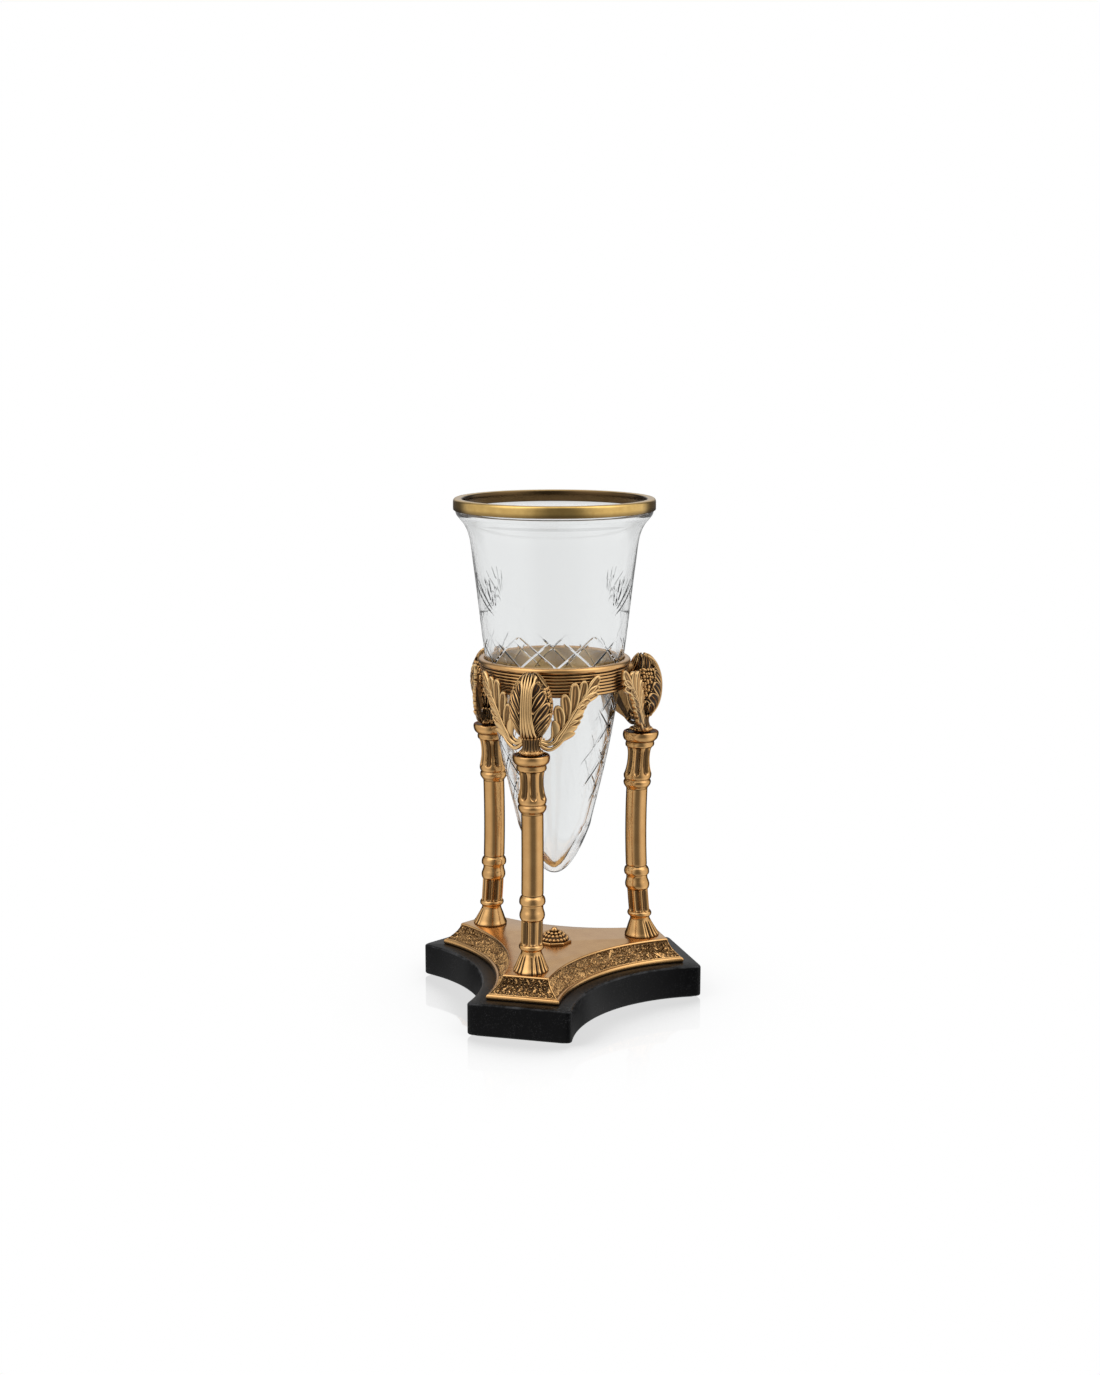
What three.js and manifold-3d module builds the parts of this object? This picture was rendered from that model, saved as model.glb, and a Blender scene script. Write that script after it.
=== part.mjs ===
// A conical cut-glass vase standing in a brass tripod on a black stone plinth.
// Millimetres, +Z up. The origin is on the vertical axis of the glass, at the underside of the felt.
import * as THREE from "three";
import { mergeVertices } from "three/addons/utils/BufferGeometryUtils.js";
import Module from "manifold-3d";

const wasm = await Module();
wasm.setup();

// Clearances between separate pieces.
const gap = 0.3;
const seatGap = 0.3;

// Felt under the plinth.
const feltThickness = 1;
const feltInset = 3;

// Stone plinth: three arms with flat ends and hollow sides.
const plinthThickness = 22.4;
const plinthMargin = 33;
const plinthEndWidth = 73;
const plinthWaist = 56;
const plinthArris = 1;

// Brass base plate: a plain fillet, a hollow moulding and a flat top, cast as a shell.
const plateInset = 9.8;
const plateHeight = 15.5;
const plateFilletHeight = 3.6;
const plateLedge = 1.4;
const plateTopInset = 8.8;
const plateTopFillet = 1;
const plateHollow = 1.6;
const plateWall = 3.5;

// Rosette in the middle of the plate.
const rosetteRimRadius = 12.2;
const rosetteRimHeight = 2;
const rosetteDomeRadius = 9.6;
const rosetteDomeHeight = 4.6;
const rosetteKnobRadius = 3.4;
const rosetteKnobHeight = 4;

// Bolts that hold the rosette and the legs from under the plinth.
const boltRadius = 3;
const boltHeadRadius = 5.4;
const boltHeadHeight = 4;
const boltGrip = 9;
const centreBoltGrip = 5;
const washerRadius = 7;
const washerThickness = 1.5;
const recessRadius = 8.5;
const recessDepth = 8;

// Legs: a hoof foot, a plain tube and a fluted capital, bowed inwards at mid height.
const legStandOff = 14;
const legBow = 5;
const legTopInset = 1.7;
const fluteCount = 8;
const fluteDepth = 1.5;
const hoofRadius = 12.2;
const ankleRadius = 6.9;
const footShaftRadius = 7.7;
const footRingRadius = 8.8;
const tubeRadius = 7.5;
const tubeWall = 1.5;
const tubeLength = 55.6;
const spigotLength = 10;
const capitalRingRadius = 9.7;
const capitalWaistRadius = 8;
const capitalRimRadius = 12.6;

// Buds: egg-shaped castings on a beaded neck, each screwed to the collar through a boss.
const budRadius = 14.6;
const budBackDepth = 10.8;
const budHeight = 54.8;
const neckHeight = 12;
const neckRadius = 6.4;
const neckCollarRadius = 7.8;
const bossRadius = 4;
const studRadius = 2;
const studLength = 18;
const screwRadius = 2;
const screwHeadRadius = 3.7;
const screwHeadHeight = 1.7;
const screwLength = 13;

// Collar: a rolled lip over a reeded band, with a ledge inside that the glass rests on.
const collarRise = 35.4;
const collarHeight = 20.2;
const collarPlay = 0.8;
const collarTopWall = 2.6;
const collarFootWall = 1.2;
const collarLipHeight = 4.2;
const collarLipOverhang = 1.5;
const ledgeWidth = 2.85;
const ledgeHeight = 3;
const reedCount = 6;
const reedDepth = 0.9;

// Leaf sprays: one on each side of a bud, from its neck to the collar.
const sprayThickness = 2.4;
const sprayCrown = 1.1;
const sprayRunAngle = 41;
const sprayTipDrop = 1.7;
const sprayStemRadius = 1.3;
const sprayRootHeight = 8;
const leafletWidth = 4.6;

// Glass cone with a flared mouth, and the brass band folded over its lip.
const glassWall = 3.6;
const glassFloor = 7;
const mouthRadius = 67.6;
const mouthFlareHeight = 17;
const flareRadius = 58.4;
const shoulderRadius = 47.6;
const shoulderDrop = 109;
const bellyRadius = 25.2;
const bellyRise = 35.4;
const throatDrop = 22;
const throatTaper = 3.2;
const glassHeight = 261.6;
const bandThickness = 1;
const bandHeight = 7;

// Facets round each kind of turned piece.
const glassSides = 36;
const collarSides = 36;
const legSides = 16;
const tubeSides = 16;
const boltSides = 8;

// Radii and heights that follow from the sizes above: the glass sets the collar, the legs and the plinth.
const collarBoreRadius = shoulderRadius + collarPlay;
const collarTopRadius = collarBoreRadius + collarTopWall;
const collarFootRadius = collarBoreRadius + collarFootWall;
const collarLipRadius = collarTopRadius + collarLipOverhang;
const ledgeRadius = collarBoreRadius - ledgeWidth;
const legCircleRadius = collarTopRadius + legStandOff;
const plinthReach = legCircleRadius + plinthMargin;
const plinthTop = feltThickness + plinthThickness;
const plateTop = plinthTop + plateHeight;
const legNames = ["front", "right", "left"];
const armTurn = (2 * Math.PI) / legNames.length;
const halfTurn = armTurn / 2;
const firstArm = -Math.PI / 2;

// Finishes, one for each material of the object.
const finishes = {
  brass: new THREE.MeshStandardMaterial({ color: 0xa9803f, roughness: 0.35, metalness: 1 }),
  rimBrass: new THREE.MeshStandardMaterial({ color: 0x8d6f2c, roughness: 0.3, metalness: 1 }),
  stone: new THREE.MeshStandardMaterial({ color: 0x141414, roughness: 0.3, metalness: 0 }),
  glass: new THREE.MeshStandardMaterial({
    color: 0xf2f6f5,
    roughness: 0.02,
    metalness: 0,
    transparent: true,
    opacity: 0.35,
  }),
  felt: new THREE.MeshStandardMaterial({ color: 0x1c2a20, roughness: 1, metalness: 0 }),
  steel: new THREE.MeshStandardMaterial({ color: 0x8a8c8e, roughness: 0.4, metalness: 1 }),
};

// Closed mesh to solid and back, for cuts and joins.
function solidOf(geometry) {
  const bare = geometry.clone();
  bare.deleteAttribute("normal");
  bare.deleteAttribute("uv");
  const merged = mergeVertices(bare, 1e-4);
  return new wasm.Manifold(
    new wasm.Mesh({
      numProp: 3,
      vertProperties: new Float32Array(merged.attributes.position.array),
      triVerts: new Uint32Array(merged.index.array),
    }),
  );
}

function geometryOf(solid) {
  const mesh = solid.getMesh();
  const geometry = new THREE.BufferGeometry();
  geometry.setAttribute("position", new THREE.BufferAttribute(mesh.vertProperties.slice(), 3));
  geometry.setIndex(new THREE.BufferAttribute(mesh.triVerts.slice(), 1));
  return geometry;
}

function cut(geometry, ...cutters) {
  return geometryOf(cutters.reduce((left, cutter) => left.subtract(solidOf(cutter)), solidOf(geometry)));
}

function join(...geometries) {
  return geometryOf(geometries.map(solidOf).reduce((whole, piece) => whole.add(piece)));
}

function named(name, geometry, finish) {
  geometry.computeVertexNormals();
  const mesh = new THREE.Mesh(geometry, finish);
  mesh.name = name;
  return mesh;
}

// Solid of revolution about Z from [radius, height] pairs that run upwards.
function turned(profile, sides) {
  const points = profile.map(([radius, height]) => new THREE.Vector2(radius, height));
  return new THREE.LatheGeometry(points, sides).rotateX(Math.PI / 2);
}

// Upright cylinder between two heights.
function rod(radius, bottom, top, sides = boltSides) {
  return new THREE.CylinderGeometry(radius, radius, top - bottom, sides)
    .rotateX(Math.PI / 2)
    .translate(0, 0, (bottom + top) / 2);
}

// The same cutter at each leg.
function atEachArm(geometry) {
  return legNames.map((_, k) => geometry.clone().rotateZ(firstArm + k * armTurn));
}

function reshape(geometry, move) {
  const position = geometry.attributes.position;
  const point = new THREE.Vector3();
  for (let i = 0; i < position.count; i += 1) {
    move(point.fromBufferAttribute(position, i));
    position.setXYZ(i, point.x, point.y, point.z);
  }
  return geometry;
}

// Three-armed outline, drawn in from the plinth's edge by an inset. The hollow sides stay concentric.
const endHalf = plinthEndWidth / 2;
const cornerOut = plinthReach * Math.cos(halfTurn) + endHalf * Math.sin(halfTurn);
const cornerAcross = plinthReach * Math.sin(halfTurn) - endHalf * Math.cos(halfTurn);
const sideSag = cornerOut - plinthWaist;
const sideRadius = (cornerAcross ** 2 + sideSag ** 2) / (2 * sideSag);
const sideCentre = plinthWaist + sideRadius;
const sideSteps = 10;

function outline(inset) {
  const reach = plinthReach - inset;
  const radius = sideRadius + inset;
  const centreAlong = sideCentre * Math.cos(halfTurn);
  const centreAcross = sideCentre * Math.sin(halfTurn);
  const half = centreAcross - Math.sqrt(radius ** 2 - (reach - centreAlong) ** 2);
  const across = reach * Math.sin(halfTurn) - half * Math.cos(halfTurn);
  const spread = Math.asin(across / radius);
  const points = [];
  legNames.forEach((_, k) => {
    const middle = firstArm + k * armTurn + halfTurn;
    for (let i = 0; i <= sideSteps; i += 1) {
      const angle = middle + Math.PI + spread * (1 - (2 * i) / sideSteps);
      points.push(
        new THREE.Vector2(
          sideCentre * Math.cos(middle) + radius * Math.cos(angle),
          sideCentre * Math.sin(middle) + radius * Math.sin(angle),
        ),
      );
    }
  });
  return points;
}

// Closed solid through a stack of outlines with equal point counts.
function loft(levels) {
  const count = levels[0].points.length;
  const positions = levels.flatMap(({ points, height }) => points.flatMap((p) => [p.x, p.y, height]));
  const faces = [];
  for (let level = 0; level + 1 < levels.length; level += 1) {
    for (let i = 0; i < count; i += 1) {
      const a = level * count + i;
      const b = level * count + ((i + 1) % count);
      faces.push(a, b, b + count, a, b + count, a + count);
    }
  }
  const last = (levels.length - 1) * count;
  const capAt = (points, start, up) => {
    for (const [a, b, c] of THREE.ShapeUtils.triangulateShape(points, [])) {
      faces.push(start + a, start + (up ? b : c), start + (up ? c : b));
    }
  };
  capAt(levels[0].points, 0, false);
  capAt(levels.at(-1).points, last, true);
  const geometry = new THREE.BufferGeometry();
  geometry.setAttribute("position", new THREE.Float32BufferAttribute(positions, 3));
  return geometry.setIndex(faces);
}

// Felt, plinth and plate.
function feltPad() {
  const shape = new THREE.Shape(outline(feltInset));
  return new THREE.ExtrudeGeometry(shape, { depth: feltThickness, bevelEnabled: false });
}

function stonePlinth() {
  const levels = [
    { points: outline(plinthArris), height: feltThickness },
    { points: outline(0), height: feltThickness + plinthArris },
    { points: outline(0), height: plinthTop - plinthArris },
    { points: outline(plinthArris), height: plinthTop },
  ];
  const hole = rod(boltRadius + gap, feltThickness - 1, plinthTop + 1);
  const recess = rod(recessRadius, feltThickness - 1, feltThickness + recessDepth, 2 * boltSides);
  const legHole = hole.clone().translate(legCircleRadius, 0, 0);
  const legRecess = recess.clone().translate(legCircleRadius, 0, 0);
  return cut(loft(levels), hole, recess, ...atEachArm(legHole), ...atEachArm(legRecess));
}

// Inset of the plate's side at a height above the plinth.
function plateSide(height) {
  const hollowTop = plateHeight - plateTopFillet;
  const share = THREE.MathUtils.clamp((height - plateFilletHeight) / (hollowTop - plateFilletHeight), 0, 1);
  return plateLedge + (plateTopInset - plateLedge) * (1 - (1 - share) ** plateHollow);
}

function basePlate() {
  const level = (inset, height) => ({ points: outline(plateInset + inset), height: plinthTop + height });
  const hollowSteps = 4;
  const hollowRise = plateHeight - plateTopFillet - plateFilletHeight;
  const hollowHeights = Array.from(
    { length: hollowSteps + 1 },
    (_, i) => plateFilletHeight + (hollowRise * i) / hollowSteps,
  );
  const body = loft([
    level(0, 0),
    level(0, plateFilletHeight - plateLedge / 2),
    level(plateLedge / 2, plateFilletHeight),
    ...hollowHeights.map((height) => level(plateSide(height), height)),
    level(plateTopInset, plateHeight),
  ]);
  const ceiling = plateHeight - plateWall;
  const inside = loft([
    level(plateSide(0) + plateWall, -1),
    ...hollowHeights
      .filter((height) => height < ceiling)
      .map((height) => level(plateSide(height) + plateWall, height)),
    level(plateSide(ceiling) + plateWall, ceiling),
  ]);
  const hole = rod(boltRadius + gap, plinthTop, plateTop + 1);
  return cut(body, inside, hole, ...atEachArm(hole.clone().translate(legCircleRadius, 0, 0)));
}

// Rosette and bolts.
function centreRosette() {
  const rimTop = plateTop + rosetteRimHeight;
  const domeTop = rimTop + rosetteDomeHeight;
  const rim = rod(rosetteRimRadius, plateTop, rimTop, 8);
  const dome = turned(
    [
      [0, plateTop],
      [rosetteDomeRadius, plateTop],
      [rosetteDomeRadius, rimTop],
      [rosetteDomeRadius * 0.85, rimTop + rosetteDomeHeight * 0.55],
      [rosetteKnobRadius, domeTop],
      [rosetteKnobRadius, domeTop + rosetteKnobHeight * 0.5],
      [rosetteKnobRadius * 0.6, domeTop + rosetteKnobHeight * 0.88],
      [0, domeTop + rosetteKnobHeight],
    ],
    tubeSides,
  );
  return cut(join(rim, dome), rod(boltRadius + gap, plateTop - 1, plateTop + centreBoltGrip + gap));
}

const headSeat = feltThickness + recessDepth - washerThickness;

function bolt(grip) {
  const head = rod(boltHeadRadius, headSeat - boltHeadHeight, headSeat, 6);
  return join(head, rod(boltRadius, headSeat - boltHeadHeight / 2, plateTop + grip));
}

function washer() {
  const ring = rod(washerRadius, headSeat, headSeat + washerThickness, 2 * boltSides);
  return cut(ring, rod(boltRadius + gap, headSeat - 1, headSeat + washerThickness + 1));
}

// Legs. Each station of a turned leg piece is [radius, height above the piece's lower end].
const footStations = [
  [hoofRadius - 0.6, 0],
  [hoofRadius, 1.2],
  [hoofRadius - 1.2, 4],
  [(hoofRadius + ankleRadius) / 2 - 0.8, 7.2],
  [ankleRadius, 11],
  [ankleRadius + 0.3, 13],
  [footShaftRadius + 0.6, 16],
  [footShaftRadius + 0.6, 17.6],
  [footShaftRadius, 19],
  [footShaftRadius, 21.5],
  [footShaftRadius, 32],
  [footShaftRadius, 34.6],
  [footRingRadius - 0.4, 37.6],
  [footRingRadius - 0.4, 39.4],
  [footShaftRadius - 0.1, 43.2],
  [footRingRadius, 46.8],
  [footRingRadius, 49.2],
  [tubeRadius + 0.4, 51.5],
];
const footFlutes = [20, 33.5];
const footHeight = footStations.at(-1)[1];

const capitalStations = [
  [tubeRadius + 0.2, 0],
  [capitalRingRadius - 0.8, 2],
  [capitalRingRadius, 4.2],
  [capitalRingRadius - 0.3, 5.8],
  [capitalRingRadius - 0.9, 6.6],
  [capitalRingRadius - 0.1, 8.4],
  [capitalRingRadius, 10.4],
  [(capitalRingRadius + capitalWaistRadius) / 2 - 0.2, 14.4],
  [capitalWaistRadius, 20.4],
  [capitalWaistRadius + 0.1, 25.4],
  [capitalWaistRadius + 0.8, 29.4],
  [capitalRimRadius - 2.7, 30.8],
  [capitalRimRadius - 2.5, 33.2],
  [capitalRimRadius - 2.8, 34],
  [capitalRimRadius - 1.7, 34.9],
  [capitalRimRadius - 0.5, 36.6],
  [capitalRimRadius, 38.4],
  [capitalRimRadius - 0.2, 40.2],
  [capitalRimRadius - 0.8, 41],
];
const capitalFlutes = [11, 30];
const capitalHeight = capitalStations.at(-1)[1];

const tubeBottom = plateTop + footHeight + gap;
const tubeTop = tubeBottom + tubeLength;
const capitalBottom = tubeTop + gap;
const capitalTop = capitalBottom + capitalHeight;
const bowHeight = (tubeBottom + tubeTop) / 2;

// Radius of a leg's centre line at a height.
function legRadiusAt(height) {
  if (height < bowHeight) {
    const share = (bowHeight - height) / (bowHeight - plateTop);
    return legCircleRadius - legBow * (1 - share ** 2);
  }
  const share = (height - bowHeight) / (capitalTop - bowHeight);
  return legCircleRadius - legBow + (legBow - legTopInset) * share ** 2;
}

function bowed(geometry) {
  return reshape(geometry, (point) => {
    point.x += legRadiusAt(point.z);
  });
}

// Hollows pressed into a turned piece between two heights, dying out at both ends.
function fluted(geometry, [from, to], depth) {
  return reshape(geometry, (point) => {
    if (point.z <= from || point.z >= to) return;
    const angle = Math.atan2(point.y, point.x);
    const press = depth * Math.max(0, Math.cos(fluteCount * angle));
    const radius = Math.hypot(point.x, point.y);
    point.x -= press * (point.x / radius);
    point.y -= press * (point.y / radius);
  });
}

const spigotRadius = tubeRadius - tubeWall - gap;

function legFoot() {
  const profile = [
    [0, 0],
    ...footStations,
    [spigotRadius, footHeight],
    [spigotRadius, footHeight + spigotLength],
    [0, footHeight + spigotLength],
  ];
  const body = fluted(turned(profile, legSides), footFlutes, fluteDepth * 0.8);
  const hole = rod(boltRadius + gap, plateTop - 1, plateTop + boltGrip + gap).translate(legCircleRadius, 0, 0);
  return cut(bowed(body.translate(0, 0, plateTop)), hole);
}

function legTube() {
  const steps = 4;
  const heights = Array.from({ length: steps + 1 }, (_, i) => tubeBottom + (tubeLength * i) / steps);
  const outside = heights.map((height) => [tubeRadius, height]);
  const inside = heights.map((height) => [tubeRadius - tubeWall, height]).reverse();
  return bowed(turned([...outside, ...inside, outside[0]], tubeSides));
}

const studMiddle = capitalTop;
const studPocket = studLength / 2 + gap;

function legCapital() {
  const profile = [
    [0, -spigotLength],
    [spigotRadius, -spigotLength],
    [spigotRadius, 0],
    ...capitalStations,
    [0, capitalHeight],
  ];
  const body = fluted(turned(profile, legSides), capitalFlutes, fluteDepth);
  const pocket = rod(studRadius + gap, studMiddle - studPocket, capitalTop + 1).translate(budAxis, 0, 0);
  return cut(bowed(body.translate(0, 0, capitalBottom)), pocket);
}

// Buds.
const budAxis = legRadiusAt(capitalTop);
const budBottom = capitalTop;
const budStations = [
  [neckCollarRadius, 0],
  [neckCollarRadius - 0.2, 2],
  [neckRadius - 0.5, 4.8],
  [neckRadius - 1, 7.5],
  [neckRadius - 0.4, neckHeight - 1.2],
];
const eggSteps = 9;
const eggWidest = 0.48;

// Egg from the neck to a point, widest a little below its middle.
function eggRadius(share) {
  if (share < eggWidest) {
    const low = (eggWidest - share) / eggWidest;
    return neckRadius + (budRadius - neckRadius) * (1 - low ** 2.2) ** 0.8;
  }
  const high = (share - eggWidest) / (1 - eggWidest);
  return budRadius * Math.sqrt(1 - high ** 1.9);
}

const collarBottom = capitalTop + collarRise;
const collarTop = collarBottom + collarHeight;
const collarLipBottom = collarTop - collarLipHeight;
const screwHeight = (collarBottom + ledgeHeight + collarLipBottom) / 2;

function collarOuterAt(height) {
  const share = (height - collarBottom) / (collarLipBottom - collarBottom);
  return collarFootRadius + (collarTopRadius - collarFootRadius) * share;
}

function bud() {
  const eggHeight = budHeight - neckHeight;
  const egg = Array.from({ length: eggSteps + 1 }, (_, i) => {
    const share = i / eggSteps;
    return [eggRadius(share), neckHeight + eggHeight * share];
  });
  const body = turned([[0, 0], ...budStations, ...egg], tubeSides);
  reshape(body, (point) => {
    const flat = THREE.MathUtils.clamp((point.z - neckHeight) / neckHeight, 0, 1);
    if (point.x < 0) point.x *= 1 - flat * (1 - budBackDepth / budRadius);
  });
  body.translate(budAxis, 0, budBottom);
  const bossEnd = collarOuterAt(screwHeight) + seatGap;
  const boss = radialRod(bossRadius, bossEnd, budAxis, screwHeight);
  const screwHole = radialRod(screwRadius + gap, bossEnd - 1, screwTip + gap, screwHeight);
  const pocket = rod(studRadius + gap, budBottom - 1, studMiddle + studPocket).translate(budAxis, 0, 0);
  return cut(join(body, boss), screwHole, pocket);
}

function budStud() {
  return rod(studRadius, studMiddle - studLength / 2, studMiddle + studLength / 2).translate(budAxis, 0, 0);
}

// Cylinder along a leg's radius between two distances from the axis.
function radialRod(radius, near, far, height, sides = boltSides) {
  return new THREE.CylinderGeometry(radius, radius, far - near, sides)
    .rotateZ(-Math.PI / 2)
    .translate((near + far) / 2, 0, height);
}

const screwFace = collarBoreRadius + gap;
const screwTip = screwFace + screwLength;

// Cone of the screw head, widening towards the bore.
const headFlare = (screwHeadRadius - screwRadius) / screwHeadHeight;

function countersink(near, far) {
  const wide = screwRadius + headFlare * (far - near);
  return new THREE.CylinderGeometry(screwRadius, wide, far - near, 2 * boltSides)
    .rotateZ(-Math.PI / 2)
    .translate((near + far) / 2, 0, screwHeight);
}

function collarScrew() {
  const head = countersink(screwFace, screwFace + screwHeadHeight);
  return join(head, radialRod(screwRadius, screwFace + screwHeadHeight / 2, screwTip, screwHeight));
}

// Collar.
function collarRing() {
  const reedPitch = (collarLipBottom - collarBottom) / reedCount;
  const reeds = Array.from({ length: reedCount }, (_, i) => {
    const low = collarBottom + i * reedPitch;
    const crest = low + reedPitch * 0.5;
    return [
      [collarOuterAt(low) - reedDepth, low],
      [collarOuterAt(crest), crest],
    ];
  }).flat();
  const lipMiddle = collarTop - collarLipHeight / 2;
  const lipRound = collarLipRadius - collarTopRadius;
  const profile = [
    ...reeds,
    [collarTopRadius - reedDepth, collarLipBottom],
    [collarLipRadius - lipRound * 0.4, collarLipBottom + collarLipHeight * 0.15],
    [collarLipRadius, lipMiddle],
    [collarLipRadius - lipRound * 0.5, collarTop - collarLipHeight * 0.1],
    [collarLipRadius - lipRound, collarTop],
    [collarBoreRadius, collarTop],
    [collarBoreRadius, collarBottom + ledgeHeight],
    [ledgeRadius, collarBottom + ledgeHeight],
    [ledgeRadius, collarBottom],
    reeds[0],
  ];
  const hole = radialRod(screwRadius + gap, ledgeRadius, collarLipRadius + 1, screwHeight);
  const sink = countersink(collarBoreRadius - 1, screwFace + screwHeadHeight + 2 * gap);
  return cut(turned(profile, collarSides), ...atEachArm(hole), ...atEachArm(sink));
}

// Leaf sprays. A flat spray is drawn with x along the collar and y upwards, then wrapped round the axis.
const sprayRootAngle = Math.asin((neckRadius + gap) / budAxis);
const sprayRunTo = sprayRootAngle + THREE.MathUtils.degToRad(sprayRunAngle);
const sprayRootLevel = capitalTop + sprayRootHeight;
const sprayTipLevel = collarLipBottom - sprayTipDrop;
const sprayTipRadius = collarTopRadius + seatGap + sprayThickness / 2;
const wrapRadius = (budAxis + sprayTipRadius) / 2;

// Line of the stem, as shares of the spray's run and rise: it dips below its root and then sweeps up.
const stemPath = [
  [0, 0],
  [0.06, -0.045],
  [0.14, -0.06],
  [0.225, 0.02],
  [0.3, 0.13],
  [0.4, 0.29],
  [0.5, 0.435],
  [0.61, 0.59],
  [0.72, 0.705],
  [0.82, 0.815],
];

// Leaflets as [share of the stem, turn from it in degrees, length, share of the full width].
const leaflets = [
  [0.28, 44, 12, 0.9],
  [0.38, 45, 17.5, 1.05],
  [0.54, 46, 17.7, 0.95],
  [0.64, 36, 19.5, 0.95],
  [0.76, 26, 15.5, 0.9],
  [0.85, 0, 18.5, 1.35],
  [0.19, -14, 15.6, 0.8],
  [0.33, -28, 12.6, 0.9],
  [0.4, -25, 14.8, 0.9],
  [0.54, -22, 12.7, 0.9],
  [0.6, -20, 14.2, 0.9],
  [0.76, -33, 16.6, 0.85],
  [0.86, -32, 12.6, 0.7],
];

function sprayMidrib() {
  const from = new THREE.Vector2(sprayRootAngle * wrapRadius, sprayRootLevel);
  const run = sprayRunTo * wrapRadius - from.x;
  const rise = sprayTipLevel - from.y;
  return new THREE.CatmullRomCurve3(
    stemPath.map(([along, up]) => new THREE.Vector3(from.x + run * along, from.y + rise * up, 0)),
  );
}

// Pointed blade along +X with a raised spine on its front.
function leaflet(length, width) {
  const back = -sprayThickness / 2;
  const front = sprayThickness / 2 - sprayCrown;
  const spine = sprayThickness / 2;
  const half = width / 2;
  const edge = [
    [0, -half * 0.5],
    [length * 0.6, -half],
    [length, 0],
    [length * 0.6, half],
    [0, half * 0.5],
  ];
  const ridge = [
    [length * 0.1, 0],
    [length * 0.7, 0],
  ];
  const count = edge.length;
  const positions = [
    ...edge.flatMap(([x, y]) => [x, y, back]),
    ...edge.flatMap(([x, y]) => [x, y, front]),
    ...ridge.flatMap(([x, y]) => [x, y, spine]),
  ];
  const [near, far] = [2 * count, 2 * count + 1];
  const faces = [];
  for (let i = 0; i < count; i += 1) {
    const j = (i + 1) % count;
    faces.push(i, j, j + count, i, j + count, i + count);
  }
  for (let i = 1; i + 1 < count; i += 1) faces.push(0, i + 1, i);
  const top = (i) => count + i;
  faces.push(top(0), top(1), near, top(1), far, near, top(1), top(2), far);
  faces.push(top(2), top(3), far, top(3), near, far, top(3), top(4), near, top(4), top(0), near);
  const geometry = new THREE.BufferGeometry();
  geometry.setAttribute("position", new THREE.Float32BufferAttribute(positions, 3));
  return geometry.setIndex(faces);
}

function leafletAt(midrib, [share, turn, length, width]) {
  const root = midrib.getPointAt(share);
  const along = midrib.getTangentAt(share);
  return leaflet(length, leafletWidth * width)
    .rotateZ(Math.atan2(along.y, along.x) + THREE.MathUtils.degToRad(turn))
    .translate(root.x, root.y, 0);
}

function leafSpray(side) {
  const midrib = sprayMidrib();
  const section = new THREE.Shape(
    Array.from({ length: 3 }, (_, i) => {
      const angle = (i * 2 * Math.PI) / 3;
      return new THREE.Vector2(sprayStemRadius * Math.cos(angle), sprayStemRadius * Math.sin(angle));
    }),
  );
  const stem = new THREE.ExtrudeGeometry(section, { steps: 12, bevelEnabled: false, extrudePath: midrib });
  const flat = join(stem, ...leaflets.map((each) => leafletAt(midrib, each)));
  const wrapped = reshape(flat, (point) => {
    const angle = point.x / wrapRadius;
    const share = THREE.MathUtils.clamp((angle - sprayRootAngle) / (sprayRunTo - sprayRootAngle), 0, 1);
    const radius = THREE.MathUtils.lerp(budAxis, sprayTipRadius, share ** 0.8) + point.z;
    point.set(radius * Math.cos(angle), radius * Math.sin(angle), point.y);
  });
  if (side > 0) return wrapped;
  wrapped.scale(1, -1, 1);
  const index = wrapped.index.array;
  for (let i = 0; i < index.length; i += 3) [index[i + 1], index[i + 2]] = [index[i + 2], index[i + 1]];
  return wrapped;
}

// Glass. The outside is a smooth curve through its driving radii, and it drops until it meets the ledge.
function glassOutside() {
  const shoulderLevel = glassHeight - shoulderDrop;
  const flareLevel = glassHeight - bandHeight - mouthFlareHeight;
  const lowerCurve = new THREE.SplineCurve([
    new THREE.Vector2(bellyRadius, bellyRise),
    new THREE.Vector2((bellyRadius + shoulderRadius) / 2 + 2.1, (bellyRise + shoulderLevel) / 2),
    new THREE.Vector2(shoulderRadius, shoulderLevel),
    new THREE.Vector2(flareRadius - throatTaper, flareLevel - throatDrop),
    new THREE.Vector2(flareRadius, flareLevel),
    new THREE.Vector2(flareRadius + (mouthRadius - flareRadius) * 0.32, flareLevel + mouthFlareHeight * 0.42),
    new THREE.Vector2(mouthRadius - 0.8, flareLevel + mouthFlareHeight * 0.84),
    new THREE.Vector2(mouthRadius, glassHeight - bandHeight),
    new THREE.Vector2(mouthRadius, glassHeight),
  ]);
  const tipSteps = 5;
  const tip = Array.from({ length: tipSteps }, (_, i) => {
    const share = i / tipSteps;
    return new THREE.Vector2(bellyRadius * share, bellyRise * share ** 2);
  });
  return [...tip, ...lowerCurve.getPoints(12)];
}

// Height on an upward profile where it first reaches a radius.
function heightAtRadius(points, radius) {
  const i = points.findIndex((point) => point.x >= radius);
  const [low, high] = [points[i - 1], points[i]];
  return THREE.MathUtils.mapLinear(radius, low.x, high.x, low.y, high.y);
}

const outsidePoints = glassOutside();
const ledgeTop = collarBottom + ledgeHeight;
const glassBottom = ledgeTop - heightAtRadius(outsidePoints, ledgeRadius - seatGap);
const glassTop = glassBottom + glassHeight;

function glassCone() {
  const outside = outsidePoints.map((point) => [point.x, glassBottom + point.y]);
  const inside = outsidePoints
    .filter((point, i) => point.y > glassFloor && (i % 2 === 0 || point.x > shoulderRadius))
    .map((point) => [point.x - glassWall, glassBottom + point.y])
    .reverse();
  return turned([...outside, ...inside, [0, glassBottom + glassFloor]], glassSides);
}

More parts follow.
